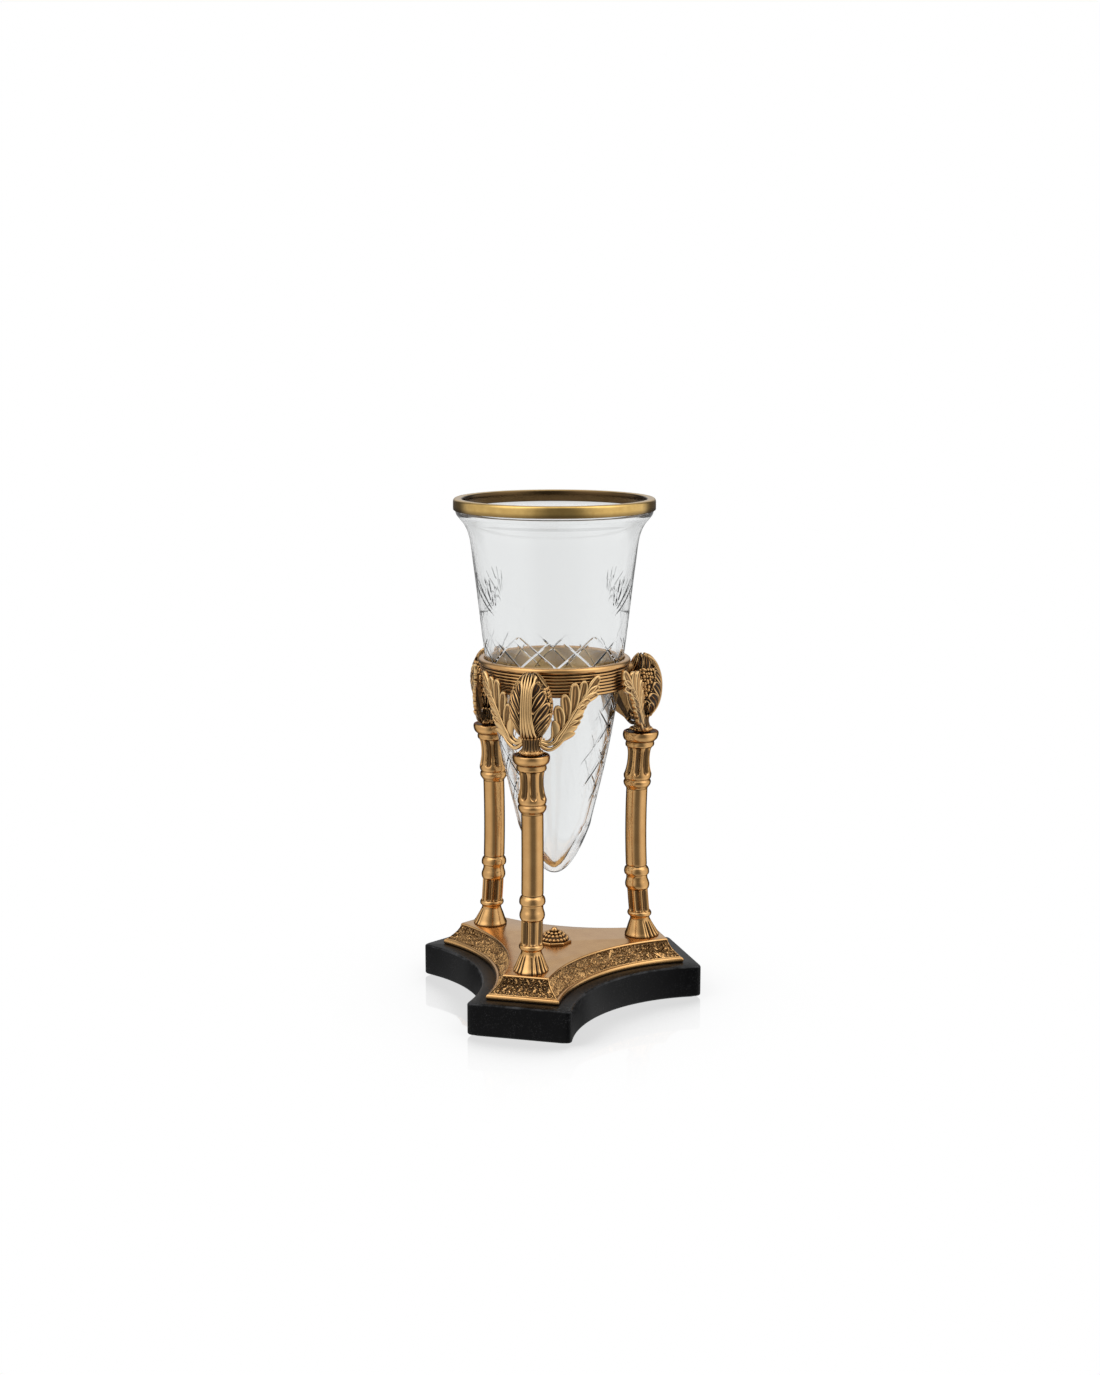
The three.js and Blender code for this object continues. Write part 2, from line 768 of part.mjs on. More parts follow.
function rimBand() {
  const outer = mouthRadius + gap + bandThickness;
  const inner = mouthRadius - glassWall - gap - bandThickness;
  const bottom = glassTop - bandHeight + gap;
  const top = glassTop + gap + bandThickness;
  const profile = [
    [outer - bandThickness, bottom],
    [outer, bottom + bandThickness / 2],
    [outer, top - bandThickness],
    [outer - bandThickness, top],
    [inner + bandThickness, top],
    [inner, top - bandThickness],
    [inner, bottom + bandThickness / 2],
    [inner + bandThickness, bottom],
    [inner + bandThickness, glassTop + gap],
    [outer - bandThickness, glassTop + gap],
    [outer - bandThickness, bottom],
  ];
  return turned(profile, glassSides);
}

// The assembly.
const vase = new THREE.Group();
vase.add(
  named("felt_pad", feltPad(), finishes.felt),
  named("stone_plinth", stonePlinth(), finishes.stone),
  named("base_plate", basePlate(), finishes.brass),
  named("centre_rosette", centreRosette(), finishes.brass),
  named("centre_bolt", bolt(centreBoltGrip), finishes.steel),
  named("centre_washer", washer(), finishes.steel),
  named("collar_ring", collarRing(), finishes.brass),
  named("glass_cone", glassCone(), finishes.glass),
  named("rim_band", rimBand(), finishes.rimBrass),
);

legNames.forEach((name, k) => {
  const leg = new THREE.Group();
  leg.rotation.z = firstArm + k * armTurn;
  leg.add(
    named(`leg_foot_${name}`, legFoot(), finishes.brass),
    named(`leg_tube_${name}`, legTube(), finishes.brass),
    named(`leg_capital_${name}`, legCapital(), finishes.brass),
    named(`leg_bolt_${name}`, bolt(boltGrip).translate(legCircleRadius, 0, 0), finishes.steel),
    named(`leg_washer_${name}`, washer().translate(legCircleRadius, 0, 0), finishes.steel),
    named(`bud_stud_${name}`, budStud(), finishes.steel),
    named(`bud_${name}`, bud(), finishes.brass),
    named(`collar_screw_${name}`, collarScrew(), finishes.brass),
    named(`leaf_spray_${name}_1`, leafSpray(1), finishes.brass),
    named(`leaf_spray_${name}_2`, leafSpray(-1), finishes.brass),
  );
  vase.add(leg);
});

export default vase;
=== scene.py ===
import math
from functools import partial

import bmesh
import bpy
import numpy as np
from mathutils.kdtree import KDTree
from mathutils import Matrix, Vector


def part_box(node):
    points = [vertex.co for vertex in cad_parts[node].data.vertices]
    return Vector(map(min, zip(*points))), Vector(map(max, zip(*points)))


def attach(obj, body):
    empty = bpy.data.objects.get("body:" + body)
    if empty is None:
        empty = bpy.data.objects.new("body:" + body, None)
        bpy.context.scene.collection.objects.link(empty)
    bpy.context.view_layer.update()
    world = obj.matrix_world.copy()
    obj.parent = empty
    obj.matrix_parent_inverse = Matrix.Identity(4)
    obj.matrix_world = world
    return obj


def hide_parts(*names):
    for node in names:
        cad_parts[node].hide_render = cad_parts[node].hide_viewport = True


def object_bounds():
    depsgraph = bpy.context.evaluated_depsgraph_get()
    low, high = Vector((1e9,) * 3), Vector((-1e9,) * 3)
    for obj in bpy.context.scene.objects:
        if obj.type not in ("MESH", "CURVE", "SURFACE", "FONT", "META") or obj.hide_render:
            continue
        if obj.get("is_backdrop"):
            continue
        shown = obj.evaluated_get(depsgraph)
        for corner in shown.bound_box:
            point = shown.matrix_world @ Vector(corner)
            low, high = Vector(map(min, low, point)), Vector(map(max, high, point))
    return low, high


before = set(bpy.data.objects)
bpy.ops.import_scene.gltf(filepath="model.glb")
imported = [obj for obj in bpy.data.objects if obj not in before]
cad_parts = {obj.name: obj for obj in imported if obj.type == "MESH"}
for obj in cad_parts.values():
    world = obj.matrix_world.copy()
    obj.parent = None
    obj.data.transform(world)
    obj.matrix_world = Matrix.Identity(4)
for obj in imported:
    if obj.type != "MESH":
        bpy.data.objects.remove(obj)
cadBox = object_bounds()

mm = 0.001
legTurns = {"front": -90, "right": 30, "left": 150}  # degrees round the axis
scene = bpy.context.scene
scene.view_settings.view_transform = "Standard"


def nodeBox(node):  # corners of a CAD node in mm
    low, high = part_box(node)
    return np.array(low) / mm, np.array(high) / mm


def polar(radius, angle, *height):  # points round the axis, flat or at a height
    return np.stack([radius * np.cos(angle), radius * np.sin(angle), *height], -1)


def smoothStep(low, high, value):
    share = np.clip((value - low) / (high - low), 0, 1)
    return share * share * (3 - 2 * share)


def hexColor(text):  # sRGB hex to linear RGBA
    parts = [int(text[i:i + 2], 16) / 255 for i in (1, 3, 5)]
    return [c / 12.92 if c < 0.04045 else ((c + 0.055) / 1.055) ** 2.4 for c in parts] + [1]


# values, hex colours, sockets, or nodes that stand for their first output in use
def setInputs(node, inputs):
    for key, value in inputs.items():
        if isinstance(value, bpy.types.Node):
            value = next(socket for socket in value.outputs if socket.enabled)
        if isinstance(value, bpy.types.NodeSocket):
            node.id_data.links.new(value, node.inputs[key])
        else:
            node.inputs[key].default_value = hexColor(value) if str(value).startswith("#") else value


def addNode(tree, kind, settings=(), inputs=()):
    node = tree.nodes.new(kind)
    for key, value in dict(settings).items():
        setattr(node, key, value)
    setInputs(node, dict(inputs))
    return node


print("frame loaded:", len(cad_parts), "nodes")

# Camera: fitted to the rim, the collar, the feet and the plinth corners in the photograph
cameraView = {"place": (0.32674, -1.30363, 0.46774), "tilt": 79.611, "pan": 14.2, "lens": 51.79}

camera = bpy.data.objects.new("camera", bpy.data.cameras.new("camera"))
camera.location = cameraView["place"]
camera.rotation_euler = (math.radians(cameraView["tilt"]), 0, math.radians(cameraView["pan"]))
camera.data.lens = cameraView["lens"]
camera.data.sensor_width = 36
camera.data.clip_start = 0.05
scene.collection.objects.link(camera)
scene.camera = camera


# Finishes
def newFinish(name):
    material = bpy.data.materials.new(name)
    material.use_nodes = True
    return material, partial(addNode, material.node_tree), material.node_tree.nodes["Principled BSDF"]


# the paler crest colour stands for rubbed high spots and is partly a painted highlight on raised parts
brassFinish = {"burnishAndHighlight": "#EDC98F", "rubbed": "#DBAE73", "worn": "#BC8C53", "patina": "#1F1006",
               "toneMm": 9, "grainMm": 0.45, "recessMm": 2.2, "recessLight": (0.95, 0.48), "dull": 0.55,
               "lacquer": 0.25}


# cast brass, bronzed then rubbed back: warm satin on top, near black in recesses
def antiqueBrass(name, recess, roughness, edge):
    material, add, shader = newFinish(name)
    place = add("ShaderNodeTexCoord").outputs["Object"]
    tone = add("ShaderNodeTexNoise", inputs={
        "Vector": place, "Scale": 1 / (brassFinish["toneMm"] * mm), "Detail": 4, "Roughness": 0.6})
    grain = add("ShaderNodeTexNoise", inputs={
        "Vector": place, "Scale": 1 / (brassFinish["grainMm"] * mm), "Detail": 2})
    metal = add("ShaderNodeMix", {"data_type": "RGBA"}, {
        "Factor": tone, "A": brassFinish["rubbed"], "B": brassFinish["worn"]})
    low = add("ShaderNodeAttribute", {"attribute_name": "patina"}).outputs["Fac"]
    crest = add("ShaderNodeMath", {"operation": "MULTIPLY", "use_clamp": True}, {0: low, 1: -1.0})
    # crests get the paler colour: rubbed high spots, and partly a painted highlight
    bright = add("ShaderNodeMix", {"data_type": "RGBA"}, {  # crests have patina below zero
        "Factor": crest, "A": metal, "B": brassFinish["burnishAndHighlight"]})
    shut = add("ShaderNodeAmbientOcclusion", {"only_local": True, "samples": 8}, {
        "Distance": brassFinish["recessMm"] * mm})
    light, dark = brassFinish["recessLight"]
    deep = add("ShaderNodeMapRange", {"interpolation_type": "SMOOTHSTEP"}, {
        "Value": shut.outputs["AO"], "From Min": light, "From Max": dark, "To Max": recess})
    both = add("ShaderNodeMath", {"operation": "MAXIMUM"}, {0: low, 1: deep})
    color = add("ShaderNodeMix", {"data_type": "RGBA"}, {
        "Factor": both, "A": bright, "B": brassFinish["patina"]})
    dull = add("ShaderNodeMapRange", inputs={
        "Value": both, "To Min": roughness, "To Max": brassFinish["dull"]})
    satin = add("ShaderNodeMath", {"operation": "MULTIPLY_ADD"}, {0: grain, 1: 0.06, 2: dull})
    bump = add("ShaderNodeBump", inputs={"Height": grain, "Strength": 0.06, "Distance": 0.04 * mm})
    setInputs(shader, {
        "Base Color": color, "Roughness": satin, "Normal": bump, "Metallic": 1, "Specular Tint": edge,
        "Coat Weight": brassFinish["lacquer"], "Coat Roughness": 0.18})
    return material


rimFinish = {"bright": "#E6C27A", "dull": "#B8924F", "inside": "#3B2A20", "toneMm": 6,
             "roughness": (0.14, 0.26)}


# rolled brass strip, polished and slightly dulled: greener and glossier than the castings
def polishedRimBrass():
    material, add, shader = newFinish("polished_rim_brass")
    place = add("ShaderNodeTexCoord").outputs["Object"]
    tone = add("ShaderNodeTexNoise", inputs={
        "Vector": place, "Scale": 1 / (rimFinish["toneMm"] * mm), "Detail": 5, "Roughness": 0.65})
    metal = add("ShaderNodeMix", {"data_type": "RGBA"}, {
        "Factor": tone, "A": rimFinish["bright"], "B": rimFinish["dull"]})
    low = add("ShaderNodeAttribute", {"attribute_name": "patina"}).outputs["Fac"]
    # painted shade: darker inside the mouth and along the outside's lower edge
    color = add("ShaderNodeMix", {"data_type": "RGBA"}, {
        "Factor": low, "A": metal, "B": rimFinish["inside"]})
    glossy, dull = rimFinish["roughness"]
    polish = add("ShaderNodeMapRange", inputs={"Value": tone, "To Min": glossy, "To Max": dull})
    setInputs(shader, {"Base Color": color, "Roughness": polish, "Metallic": 1})
    return material


stoneFinish = {"ground": "#060607", "speck": "#58585A", "speckMm": 0.9, "cloudMm": 14,
               "roughness": (0.2, 0.4)}


def blackStone():  # honed black granite: near black with fine pale specks, worn edges and a soft polish
    material, add, shader = newFinish("honed_black_granite")
    place = add("ShaderNodeTexCoord").outputs["Object"]
    cells = add("ShaderNodeTexVoronoi", inputs={
        "Vector": place, "Scale": 1 / (stoneFinish["speckMm"] * mm)})
    speck = add("ShaderNodeMapRange", inputs={"Value": cells, "From Min": 0.32, "From Max": 0.14})
    cloud = add("ShaderNodeTexNoise", inputs={
        "Vector": place, "Scale": 1 / (stoneFinish["cloudMm"] * mm), "Detail": 6, "Roughness": 0.7})
    share = add("ShaderNodeMapRange", inputs={
        "Value": cloud, "From Min": 0.4, "From Max": 0.75, "To Max": 0.7})
    faint = add("ShaderNodeMath", {"operation": "MULTIPLY"}, {0: speck, 1: share})
    edge = add("ShaderNodeAttribute", {"attribute_name": "patina"}).outputs["Fac"]
    worn = add("ShaderNodeMath", {"operation": "MULTIPLY"}, {0: edge, 1: share})
    pale = add("ShaderNodeMath", {"operation": "MAXIMUM"}, {0: faint, 1: worn})
    color = add("ShaderNodeMix", {"data_type": "RGBA"}, {
        "Factor": pale, "A": stoneFinish["ground"], "B": stoneFinish["speck"]})
    glossy, dull = stoneFinish["roughness"]
    hone = add("ShaderNodeMapRange", inputs={"Value": cloud, "To Min": glossy, "To Max": dull})
    pits = add("ShaderNodeBump", inputs={"Height": cells, "Strength": 0.12, "Distance": 0.05 * mm})
    setInputs(shader, {
        "Base Color": color, "Roughness": hone, "Normal": pits, "IOR": 1.54, "Specular IOR Level": 0.1})
    return material


# cut: painted grey shade in the cuts
glassFinish = {"tint": "#F8F9F9", "cut": "#8F9395", "waveMm": 30}


# blown crystal: clear, with slow waves that bend the light a little, and a painted grey shade in the cuts
def cutCrystal():
    material, add, shader = newFinish("clear_cut_crystal")
    place = add("ShaderNodeTexCoord").outputs["Object"]
    wave = add("ShaderNodeTexNoise", inputs={
        "Vector": place, "Scale": 1 / (glassFinish["waveMm"] * mm), "Detail": 0})
    bend = add("ShaderNodeBump", inputs={"Height": wave, "Strength": 0.2, "Distance": 0.1 * mm})
    cutShade = add("ShaderNodeAttribute", {"attribute_name": "patina"}).outputs["Fac"]
    color = add("ShaderNodeMix", {"data_type": "RGBA"}, {
        "Factor": cutShade, "A": glassFinish["tint"], "B": glassFinish["cut"]})
    setInputs(shader, {
        "Base Color": color, "Normal": bend, "Roughness": 0, "IOR": 1.52, "Transmission Weight": 1})
    path = add("ShaderNodeLightPath")
    clear = add("ShaderNodeBsdfTransparent")
    mixed = add("ShaderNodeMixShader", inputs={0: path.outputs["Is Shadow Ray"], 1: shader, 2: clear})
    setInputs(material.node_tree.nodes["Material Output"], {"Surface": mixed})
    return material


feltFinish = {"wool": "#1B241E", "fluff": "#333F36", "fibreMm": 0.6}


def woolFelt():  # pressed wool: dull, with short matted fibres
    material, add, shader = newFinish("pressed_wool_felt")
    place = add("ShaderNodeTexCoord").outputs["Object"]
    fibre = add("ShaderNodeTexNoise", inputs={
        "Vector": place, "Scale": 1 / (feltFinish["fibreMm"] * mm), "Detail": 4, "Distortion": 1.5})
    color = add("ShaderNodeMix", {"data_type": "RGBA"}, {
        "Factor": fibre, "A": feltFinish["wool"], "B": feltFinish["fluff"]})
    nap = add("ShaderNodeBump", inputs={"Height": fibre, "Strength": 0.6, "Distance": 0.2 * mm})
    setInputs(shader, {"Base Color": color, "Normal": nap, "Roughness": 0.95})
    return material


zincFinish = {"light": "#B4B6B9", "dark": "#84878B", "spangleMm": 1.6}


def zincSteel():  # zinc-plated bolts: pale grey with faint crystal patches
    material, add, shader = newFinish("zinc_plated_steel")
    place = add("ShaderNodeTexCoord").outputs["Object"]
    patch = add("ShaderNodeTexVoronoi", inputs={
        "Vector": place, "Scale": 1 / (zincFinish["spangleMm"] * mm)})
    color = add("ShaderNodeMix", {"data_type": "RGBA"}, {
        "Factor": patch, "A": zincFinish["light"], "B": zincFinish["dark"]})
    dull = add("ShaderNodeMapRange", inputs={"Value": patch, "To Min": 0.3, "To Max": 0.5})
    setInputs(shader, {"Base Color": color, "Roughness": dull, "Metallic": 1})
    return material


castBrass = antiqueBrass("antique_cast_brass", 0.95, 0.19, "#FFFFFF")  # ornament
# its dark edge tint is painted shade along the edges where the tubes turn away
turnedBrass = antiqueBrass("antique_turned_brass", 0.7, 0.17, "#5A3A1C")  # dark where it turns away
boreBrass = antiqueBrass("satin_bored_brass", 0.1, 0.3, "#FFFFFF")  # inside of the collar
rimBrass = polishedRimBrass()
granite = blackStone()
crystal = cutCrystal()
felt = woolFelt()
zinc = zincSteel()
print("finishes ready")


# Mesh building, all in mm
def curveThrough(points, perSpan):  # centripetal spline through points
    p = np.asarray(points, float)
    p = np.vstack([2 * p[0] - p[1], p, 2 * p[-1] - p[-2]])
    runs = []
    for a, b, c, d in zip(p, p[1:], p[2:], p[3:]):
        gaps = [max(np.linalg.norm(v), 1e-6) ** 0.5 for v in (b - a, c - b, d - c)]
        t0, t1, t2, t3 = 0, gaps[0], gaps[0] + gaps[1], sum(gaps)
        s = np.linspace(t1, t2, perSpan, endpoint=False)[:, None]
        ab = ((t1 - s) * a + (s - t0) * b) / (t1 - t0)
        bc = ((t2 - s) * b + (s - t1) * c) / (t2 - t1)
        cd = ((t3 - s) * c + (s - t2) * d) / (t3 - t2)
        abc = ((t2 - s) * ab + (s - t0) * bc) / (t2 - t0)
        bcd = ((t3 - s) * bc + (s - t1) * cd) / (t3 - t1)
        runs.append(((t2 - s) * abc + (s - t1) * bcd) / (t2 - t1))
    return np.vstack(runs + [p[-2:-1]])


def evenSteps(points, step):  # a line resampled at even steps
    p = np.asarray(points, float)
    along = np.concatenate([[0], np.cumsum(np.linalg.norm(np.diff(p, axis=0), axis=1))])
    marks = np.linspace(0, along[-1], max(2, int(round(along[-1] / step)) + 1))
    return np.stack([np.interp(marks, along, p[:, k]) for k in range(p.shape[1])], 1)


# quads that face outwards when rows rise and columns run anticlockwise
def gridFaces(rows, columns, closed=True, looped=False):
    index = np.arange(rows * columns).reshape(rows, columns)
    if looped:
        index = np.vstack([index, index[:1]])
    if closed:
        index = np.hstack([index, index[:, :1]])
    quads = np.stack([index[:-1, :-1], index[:-1, 1:], index[1:, 1:], index[1:, :-1]], -1)
    return quads.reshape(-1, 4).tolist()


# solids are (points, faces, patina and painted light): rings that rise with a pole at each end, with flat
# ends, or in a loop
def ringSolid(rings, shade):
    rows, columns = rings.shape[:2]
    points = np.vstack([rings.reshape(-1, 3), rings[0].mean(0), rings[-1].mean(0)])
    faces = gridFaces(rows, columns)
    low, high, last = rows * columns, rows * columns + 1, (rows - 1) * columns
    for k in range(columns):
        after = (k + 1) % columns
        faces.append((low, after, k))
        faces.append((high, last + k, last + after))
    return points, faces, np.concatenate([shade.ravel(), [shade[0].mean(), shade[-1].mean()]])


def cappedSolid(rings, shade):
    rows, columns = rings.shape[:2]
    faces = gridFaces(rows, columns)
    faces.append(tuple(range(columns))[::-1])
    faces.append(tuple(range((rows - 1) * columns, rows * columns)))
    return rings.reshape(-1, 3), faces, shade.ravel()


def loopSolid(rings, shade):
    return rings.reshape(-1, 3), gridFaces(*rings.shape[:2], looped=True), shade.ravel()


def gridNormals(points):  # outward normals of a grid of closed rings
    along = np.roll(points, -1, axis=1) - np.roll(points, 1, axis=1)
    normal = np.cross(along, np.gradient(points, axis=0))
    return normal / np.maximum(np.linalg.norm(normal, axis=2, keepdims=True), 1e-9)


# rings of a turned piece, shaped by angle and height, and their patina and painted light
def turnedRings(profile, sides, shape=None):
    angle = np.repeat(np.arange(sides)[None] * 2 * math.pi / sides, len(profile), axis=0)
    radius = np.repeat(profile[:, :1], sides, axis=1)
    height = np.repeat(profile[:, 1:2], sides, axis=1)
    shade = np.zeros_like(radius)
    if shape:
        radius, shade = shape(angle, height, radius)
    return polar(radius, angle, height), shade


# 1 on the middle line of drawn strokes (points, half widths), 0 at their edges
def strokeShare(strokes, u, v):
    points = np.vstack([s[0] for s in strokes])
    widths = np.concatenate([s[1] for s in strokes])
    tree = KDTree(len(points))
    for k, p in enumerate(points):
        tree.insert((p[0], p[1], 0), k)
    tree.balance()
    share = [max(1 - d / widths[n] for _, n, d in tree.find_n((a, b, 0), 4))
             for a, b in zip(u.ravel(), v.ravel())]
    return np.maximum(0, share).reshape(u.shape)


def turnAbout(points, degrees):
    a = math.radians(degrees)
    spin = np.array([[math.cos(a), -math.sin(a), 0], [math.sin(a), math.cos(a), 0], [0, 0, 1]])
    return points @ spin.T


# solids moved out along x, mirrored where way is -1, and turned about the axis
def placed(solids, turn, shift=0.0, way=1):
    return [(turnAbout((points + (shift, 0, 0)) * (1, way, 1), turn), faces, shade)
            for points, faces, shade in solids]


def makeMesh(name, solids, finish, sharp=38):  # one mesh, smooth up to an angle
    faces, count = [], 0
    for points, corners, _ in solids:
        faces.extend(tuple(i + count for i in face) for face in corners)
        count += len(points)
    points, patina = (np.concatenate([solid[k] for solid in solids]) for k in (0, 2))
    mesh = bpy.data.meshes.new(name)
    mesh.from_pydata((points * mm).tolist(), [], faces)
    mesh.attributes.new("patina", "FLOAT", "POINT").data.foreach_set("value", patina.astype(np.float32))
    work = bmesh.new()
    work.from_mesh(mesh)
    bmesh.ops.recalc_face_normals(work, faces=work.faces)
    work.to_mesh(mesh)
    work.free()
    mesh.polygons.foreach_set("use_smooth", [True] * len(mesh.polygons))
    mesh.set_sharp_from_angle(angle=math.radians(sharp))
    mesh.materials.append(finish)
    mesh.validate()
    return mesh


def mergeInto(mesh, other):  # adds a plain mesh to a mesh
    work = bmesh.new()
    work.from_mesh(mesh)
    work.from_mesh(other)
    work.to_mesh(mesh)
    work.free()


def addPiece(name, mesh, body, node):
    piece = bpy.data.objects.new(name, mesh)
    scene.collection.objects.link(piece)
    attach(piece, body)
    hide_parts(node)


# Leaves and strands laid on a curved surface: place(x, y, out) gives a point of it
# broad and narrow: where the rolled rim starts and ends, height and patina of the hollow, painted highlight
# on the crests
leafForm = {"rows": 28, "widest": 0.6, "rim": 1.15, "vein": 0.85, "veinHalf": 0.12, "plainEdge": 0.35,
            "plainShine": 0.6, "back": 0.4,
            "broad": (0.34, 0.62, 0.36, 0.7, 0.7), "narrow": (0.58, 0.8, 0.08, 0.98, 0.3),
            "across": (0, 0.07, 0.15, 0.26, 0.4, 0.54, 0.66, 0.76, 0.85, 0.92, 0.97, 1)}


def leafShell(place, base, tip, width, bow, kind, lift=0.0, thick=1.2):
    base, tip = np.array(base), np.array(tip)
    length = np.linalg.norm(tip - base)
    way = (tip - base) / length
    marks = np.array(leafForm["across"])
    v = np.concatenate([-marks[:0:-1], marks])[None]
    u = np.sin(np.linspace(0, math.pi / 2, leafForm["rows"]))[:, None]
    widest = leafForm["widest"]
    past = np.maximum(0, u - widest) / (1 - widest)
    wide = np.where(u < widest, 0.5 + 0.5 * smoothStep(0, widest, u), np.sqrt(np.maximum(0, 1 - past ** 2.2)))
    across = v * wide * width + bow * np.sin(u * math.pi)
    x = base[0] + way[0] * u * length - way[1] * across
    y = base[1] + way[1] * u * length + way[0] * across
    edge = np.sqrt(np.maximum(0, 1 - v ** 6))
    if kind:  # veined
        rollFrom, rollTo, floor, hollow, shine = leafForm[kind]
        roll = smoothStep(rollFrom, rollTo, np.abs(v))
        vein = leafForm["vein"] * np.exp(-(v / leafForm["veinHalf"]) ** 2) * smoothStep(0.97, 0.75, u)
        crown = np.maximum(np.maximum(roll, vein), smoothStep(0.84, 0.97, u) + smoothStep(0.1, 0, u))
        # patina in the hollow, and a painted highlight on the crests as patina below zero
        shade = hollow * smoothStep(0.75, 0.2, crown) - shine * smoothStep(0.75, 1, crown)
        crown = floor + (1 - floor) * np.minimum(crown, 1)
    else:
        low = leafForm["plainEdge"]
        crown = low + (1 - low) * np.sqrt(np.maximum(0, 1 - v ** 2)) + 0 * u
        # painted highlight along the crest
        shade = -leafForm["plainShine"] * smoothStep(0.8, 1, crown)
    rise = lift * u ** 2
    front = place(x, y, leafForm["rim"] * crown * edge + rise)
    points = np.vstack([front.reshape(-1, 3), place(x, y, rise - thick + 0 * x).reshape(-1, 3)])
    rows, columns = x.shape
    count = rows * columns
    faces = gridFaces(rows, columns, closed=False)
    faces += [tuple(i + count for i in face[::-1]) for face in faces]
    index = np.arange(count).reshape(rows, columns)
    rim = np.concatenate([index[0], index[1:, -1], index[-1, -2::-1], index[-2:0:-1, 0]]).tolist()
    faces += [(b, a, a + count, b + count) for a, b in zip(rim, rim[1:] + rim[:1])]
    return points, faces, np.concatenate([shade.ravel(), np.full(count, leafForm["back"])])


strandForm = {"step": 0.6, "foot": 0.9, "crest": 0.5}


def strandTube(place, path, radii, sides, rise):  # round strand along a path, with rounded ends
    line = evenSteps(curveThrough(path, 10), strandForm["step"])
    share = np.linspace(0, 1, len(line))
    radius = np.interp(share, np.linspace(0, 1, len(radii)), radii)
    radius *= np.sqrt(np.clip(np.minimum(share, 1 - share) * len(line) / 2.2 + 0.15, 0, 1))
    way = np.gradient(line, axis=0)
    way /= np.linalg.norm(way, axis=1, keepdims=True)
    a = np.arange(sides) * 2 * math.pi / sides
    across = radius[:, None] * np.cos(a)
    out = radius[:, None] * np.sin(a) + rise
    rings = place(line[:, :1] - way[:, 1:] * across, line[:, 1:] + way[:, :1] * across, out)
    dark = strandForm["foot"] * smoothStep(0.35, -0.3, np.sin(a))
    # painted highlight along the top of the strand
    shine = strandForm["crest"] * smoothStep(0.5, 0.95, np.sin(a))
    return ringSolid(rings, np.tile(dark - shine, (len(line), 1)))


# Geometry Nodes: beads set on points, and reeds round the collar
def newTree(name, *inputs):
    tree = bpy.data.node_groups.new(name, "GeometryNodeTree")
    sockets = {}
    for label, kind in (("Geometry", "Geometry"), *inputs):
        socket = tree.interface.new_socket(label, in_out="INPUT", socket_type="NodeSocket" + kind)
        sockets[label] = socket.identifier
    tree.interface.new_socket("Geometry", in_out="OUTPUT", socket_type="NodeSocketGeometry")
    add = partial(addNode, tree)
    return tree, sockets, add, add("NodeGroupInput").outputs


def endTree(add, geometry, finish):  # realized, smooth and with its finish
    real = add("GeometryNodeRealizeInstances", inputs={0: geometry})
    soft = add("GeometryNodeSetShadeSmooth", inputs={"Geometry": real})
    done = add("GeometryNodeSetMaterial", inputs={"Geometry": soft, "Material": finish})
    add("NodeGroupOutput", inputs={"Geometry": done})


def beadTree():
    tree, sockets, add, given = newTree("beads_on_points", ("Bead Radius", "Float"), ("Finish", "Material"))
    ball = add("GeometryNodeMeshUVSphere", inputs={
        "Segments": 10, "Rings": 6, "Radius": given["Bead Radius"]})
    size = add("GeometryNodeInputNamedAttribute", {"data_type": "FLOAT"}, {"Name": "bead_size"})
    dots = add("GeometryNodeMeshToPoints", inputs={"Mesh": given["Geometry"]})
    rows = add("GeometryNodeInstanceOnPoints", inputs={"Points": dots, "Instance": ball, "Scale": size})
    endTree(add, rows, given["Finish"])
    return tree, sockets


def reedTree():
    tree, sockets, add, given = newTree(
        "reeds_round_collar", ("Count", "Int"), ("Foot Radius", "Float"), ("Top Radius", "Float"),
        ("Foot Height", "Float"), ("Pitch", "Float"), ("Reed Radius", "Float"), ("Finish", "Material"))
    start = add("ShaderNodeCombineXYZ", inputs={"Z": given["Foot Height"]})
    rise = add("ShaderNodeCombineXYZ", inputs={"Z": given["Pitch"]})
    line = add("GeometryNodeMeshLine", inputs={
        "Count": given["Count"], "Start Location": start, "Offset": rise})
    number = add("GeometryNodeInputIndex")
    last = add("ShaderNodeMath", {"operation": "SUBTRACT"}, {0: given["Count"], 1: 1.0})
    wide = add("ShaderNodeMapRange", inputs={
        "Value": number, "From Max": last, "To Min": given["Foot Radius"], "To Max": given["Top Radius"]})
    scale = add("ShaderNodeCombineXYZ", inputs={"X": wide, "Y": wide, "Z": 1.0})
    hoop = add("GeometryNodeCurvePrimitiveCircle", inputs={"Resolution": 180, "Radius": 1.0})
    hoops = add("GeometryNodeInstanceOnPoints", inputs={"Points": line, "Instance": hoop, "Scale": scale})
    loose = add("GeometryNodeRealizeInstances", inputs={0: hoops})
    section = add("GeometryNodeCurvePrimitiveCircle", inputs={
        "Resolution": 12, "Radius": given["Reed Radius"]})
    reeds = add("GeometryNodeCurveToMesh", inputs={"Curve": loose, "Profile Curve": section})
    endTree(add, reeds, given["Finish"])
    return tree, sockets


beadNodes, reedNodes = beadTree(), reedTree()


def grownMesh(name, nodes, values, mesh=None):  # a plain mesh from a Geometry Nodes tree
    tree, sockets = nodes
    seed = bpy.data.objects.new(name, mesh or bpy.data.meshes.new(name))
    scene.collection.objects.link(seed)
    modifier = seed.modifiers.new(name, "NODES")
    modifier.node_group = tree
    for label, value in values.items():
        modifier[sockets[label]] = value
    shown = seed.evaluated_get(bpy.context.evaluated_depsgraph_get())
    grown = bpy.data.meshes.new_from_object(shown)
    seed.modifiers.remove(modifier)
    bpy.data.objects.remove(seed)
    return grown


def beadMesh(name, centres, sizes, radius, finish):  # beads at centres, in mm
    dots = bpy.data.meshes.new(name)
    dots.from_pydata((np.asarray(centres) * mm).tolist(), [], [])
    scale = dots.attributes.new("bead_size", "FLOAT", "POINT")
    scale.data.foreach_set("value", np.asarray(sizes, np.float32))
    return grownMesh(name, beadNodes, {"Bead Radius": radius * mm, "Finish": finish}, dots)


